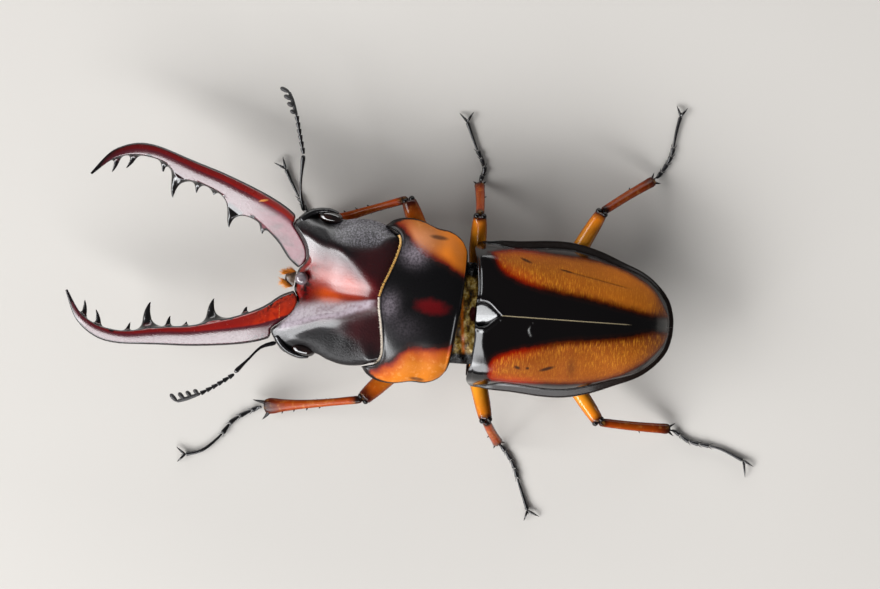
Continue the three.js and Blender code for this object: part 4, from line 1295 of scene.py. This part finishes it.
def thigh(leg, wide, high):
    middle = mix(leg.hip, leg.knee, 0.5) - [0, 0, 0.45]
    path = [leg.hip, middle, leg.knee]
    shaft = limb(path, lambda t: thigh_size(t) * wide, lambda t: thigh_size(t) * high, (0.5, 0.45), 32, 120)
    along = unit(leg.knee - middle)
    aside = unit(np.cross(along, UP))
    lobes = [
        ball(leg.knee - along * 0.15 + aside * 0.45 * k, (0.42, 0.42, 0.55), 14, 18, along=1, dark=1)
        for k in (1, -1)
    ]
    return joined(shaft, *lobes)


def shin_ways(leg):
    """The unit vectors along a shin and out from the beetle."""
    along = unit(leg.ankle - leg.knee)
    return along, unit(np.cross(along, UP)) * math.copysign(1, leg.knee[0]) * (-1 if along[1] < 0 else 1)


def shin(leg, wide, spines):
    along, outer = shin_ways(leg)
    middle = mix(leg.knee, leg.ankle, 0.5) + outer * 0.008 * np.linalg.norm(leg.ankle - leg.knee)
    parts = [limb([leg.knee, middle, leg.ankle], wide, shin_high, (0.35, 0.35), 28, 110, 2.2)]
    for t, start, reach, forward, radius, bow in spines:
        at = mix(leg.knee, leg.ankle, t)
        tip = at + outer * reach + along * forward
        tip[2] = max(tip[2], 0.12)
        parts.append(thorn(at + outer * start, tip, radius, along * bow, dark=1, along=0.95))
    return joined(*parts)


def bristles(leg):
    """Stiff hairs along a shin, pointing towards its end."""
    along, outer = shin_ways(leg)
    count = 70
    t = rng.uniform(0.08, 0.96, count)[:, None]
    a = rng.uniform(0, 2 * np.pi, count)[:, None]
    out = np.cos(a) * outer + np.sin(a) * np.cross(outer, along)
    roots = mix(leg.knee, leg.ankle, t) + out * 0.42
    tips = roots + (along + out * 0.5) * 0.35 * rng.uniform(0.6, 1.1, (count, 1))
    tips[:, 2] = np.maximum(tips[:, 2], 0.08)
    return hairs(roots, tips, 0.022, 0, 4)


def foot(leg):
    ground = [np.array([x, y, FOOT_Z]) for x, y in leg.foot]
    path, _ = curve([mix(leg.ankle, ground[0], 0.3), *ground], 400)
    parts = []
    for low, high in zip(SEGMENT_ENDS[:-1], SEGMENT_ENDS[1:]):
        ids = np.linspace(low * 399, high * 399 - 3, 6).astype(int)
        last = high == 1
        size = last_segment_size if last else segment_size
        parts.append(limb(path[ids], size, blunt=(0.12, 0.16), sides=16, count=40))
        if last:
            continue
        end, along = path[ids[-1]], unit(path[ids[-1]] - path[ids[-3]])
        aside = unit(np.cross(along, UP))
        for k in (-1, 1):
            tip = end + aside * 0.42 * k + along * 0.5
            tip[2] = TIP_Z
            parts.append(thorn(end + aside * 0.18 * k, tip, 0.07, sides=6))
    end = path[-1]
    s = np.linspace(0, 1, 30)[:, None]
    for x, y in leg.claws:
        tip = np.array([x, y, TIP_Z])
        middle = mix(end, tip, 0.55)
        middle[2] = 0.95
        hook = end * (1 - s) ** 2 + middle * 2 * s * (1 - s) + tip * s**2
        size = claw_size(s[:, 0])
        parts.append(tube(hook, size, size, 12))
    along = unit(path[-1] - path[-20])
    parts.append(thorn(end, end + along * 0.7 + UP * 0.05, 0.08, sides=8))
    return joined(*parts)


for name, leg in LEGS.items():
    kind = name.split("_")[0]
    digging = kind == "front"
    leg = Leg(*map(np.array, leg[:3]), leg.foot, leg.claws)
    shaft = shin(leg, digging_wide, DIGGING_SPINES) if digging else shin(leg, walking_wide, WALKING_SPINES)
    thigh_paint = FRONT_FEMUR if digging else FEMUR
    piece(f"{name}_hip", hip(leg), BODY, BLACK, "black_cuticle", f"leg_{name}_coxa")
    piece(f"{name}_thigh", thigh(leg, *THIGHS[kind]), BODY, thigh_paint, "femur", f"leg_{name}_femur")
    piece(f"{name}_shin", shaft, BODY, TIBIA, "tibia", f"leg_{name}_tibia")
    piece(f"{name}_bristles", bristles(leg), BODY, BLACK, "tibia")
    piece(f"{name}_foot", foot(leg), BODY, BLACK, "black_cuticle", f"leg_{name}_tarsus")

# ---------- floor, lights and camera
VIEW_X, VIEW_Y = 2.16, 7.77  # where the camera looks, left of and in front of the scutellum's tip
PLANE = 8  # height of the plane that the picture's width is taken on
DISTANCE = 450
PICTURE_WIDE = 114.4
SENSOR = 36
TILT = 4.08  # of the wing cases' seam to the picture's long side, in degrees
FLOOR_HALF = 1.2  # metres
LIGHT_AIM = (0, -8, 8)
COOL = (0.97, 0.98, 1)


def floor():
    mesh = bpy.data.meshes.new("floor")
    h = FLOOR_HALF
    mesh.from_pydata([(-h, -h, 0), (h, -h, 0), (h, h, 0), (-h, h, 0)], [], [(0, 1, 2, 3)])
    p = Paint("floor", Roughness=0.7)
    p.cover("bab6b0", (p.node("TexNoise", {"Scale": 30, "Detail": 4}), "c0bcb6"))
    mesh.materials.append(p.material)
    add("floor", mesh)


def softbox(name, azimuth, elevation, size, power, tint=(1, 1, 1)):
    """An area light a metre away. Azimuth 0 is ahead of the beetle (-Y) and 90 is on its left (+X)."""
    lamp = bpy.data.lights.new(name, "AREA")
    lamp.shape = "RECTANGLE"
    lamp.size, lamp.size_y = size
    lamp.energy = power
    lamp.color = tint
    made = add(name, lamp)
    a, e = math.radians(azimuth), math.radians(elevation)
    away = np.array([math.sin(a) * math.cos(e), -math.cos(a) * math.cos(e), math.sin(e)])
    made.location = BODY.out(LIGHT_AIM) * MM + away
    made.rotation_euler = Vector(away).to_track_quat("Z", "Y").to_euler()


def camera():
    lens = bpy.data.cameras.new("camera")
    lens.sensor_width = SENSOR
    lens.lens = SENSOR * DISTANCE / PICTURE_WIDE
    lens.clip_start, lens.clip_end = 0.01, 10.0
    made = add("camera", lens)
    made.location = BODY.out([-VIEW_X, -VIEW_Y, PLANE + DISTANCE]) * MM
    made.rotation_euler = (0, 0, math.radians(90 + TILT))
    bpy.context.scene.camera = made


floor()
camera()
softbox("key", 70, 30, (1.5, 0.42), 21, COOL)
softbox("front", 15, 30, (0.85, 0.42), 12, COOL)
softbox("fill", -100, 13, (2, 0.28), 8)
world = bpy.data.worlds.new("world")
bpy.context.scene.world = world
world.use_nodes = True
sky = world.node_tree.nodes["Background"].inputs
sky["Color"].default_value = (0.9, 0.93, 1.0, 1.0)
sky["Strength"].default_value = 0.1
bpy.context.scene.view_settings.view_transform = "Standard"
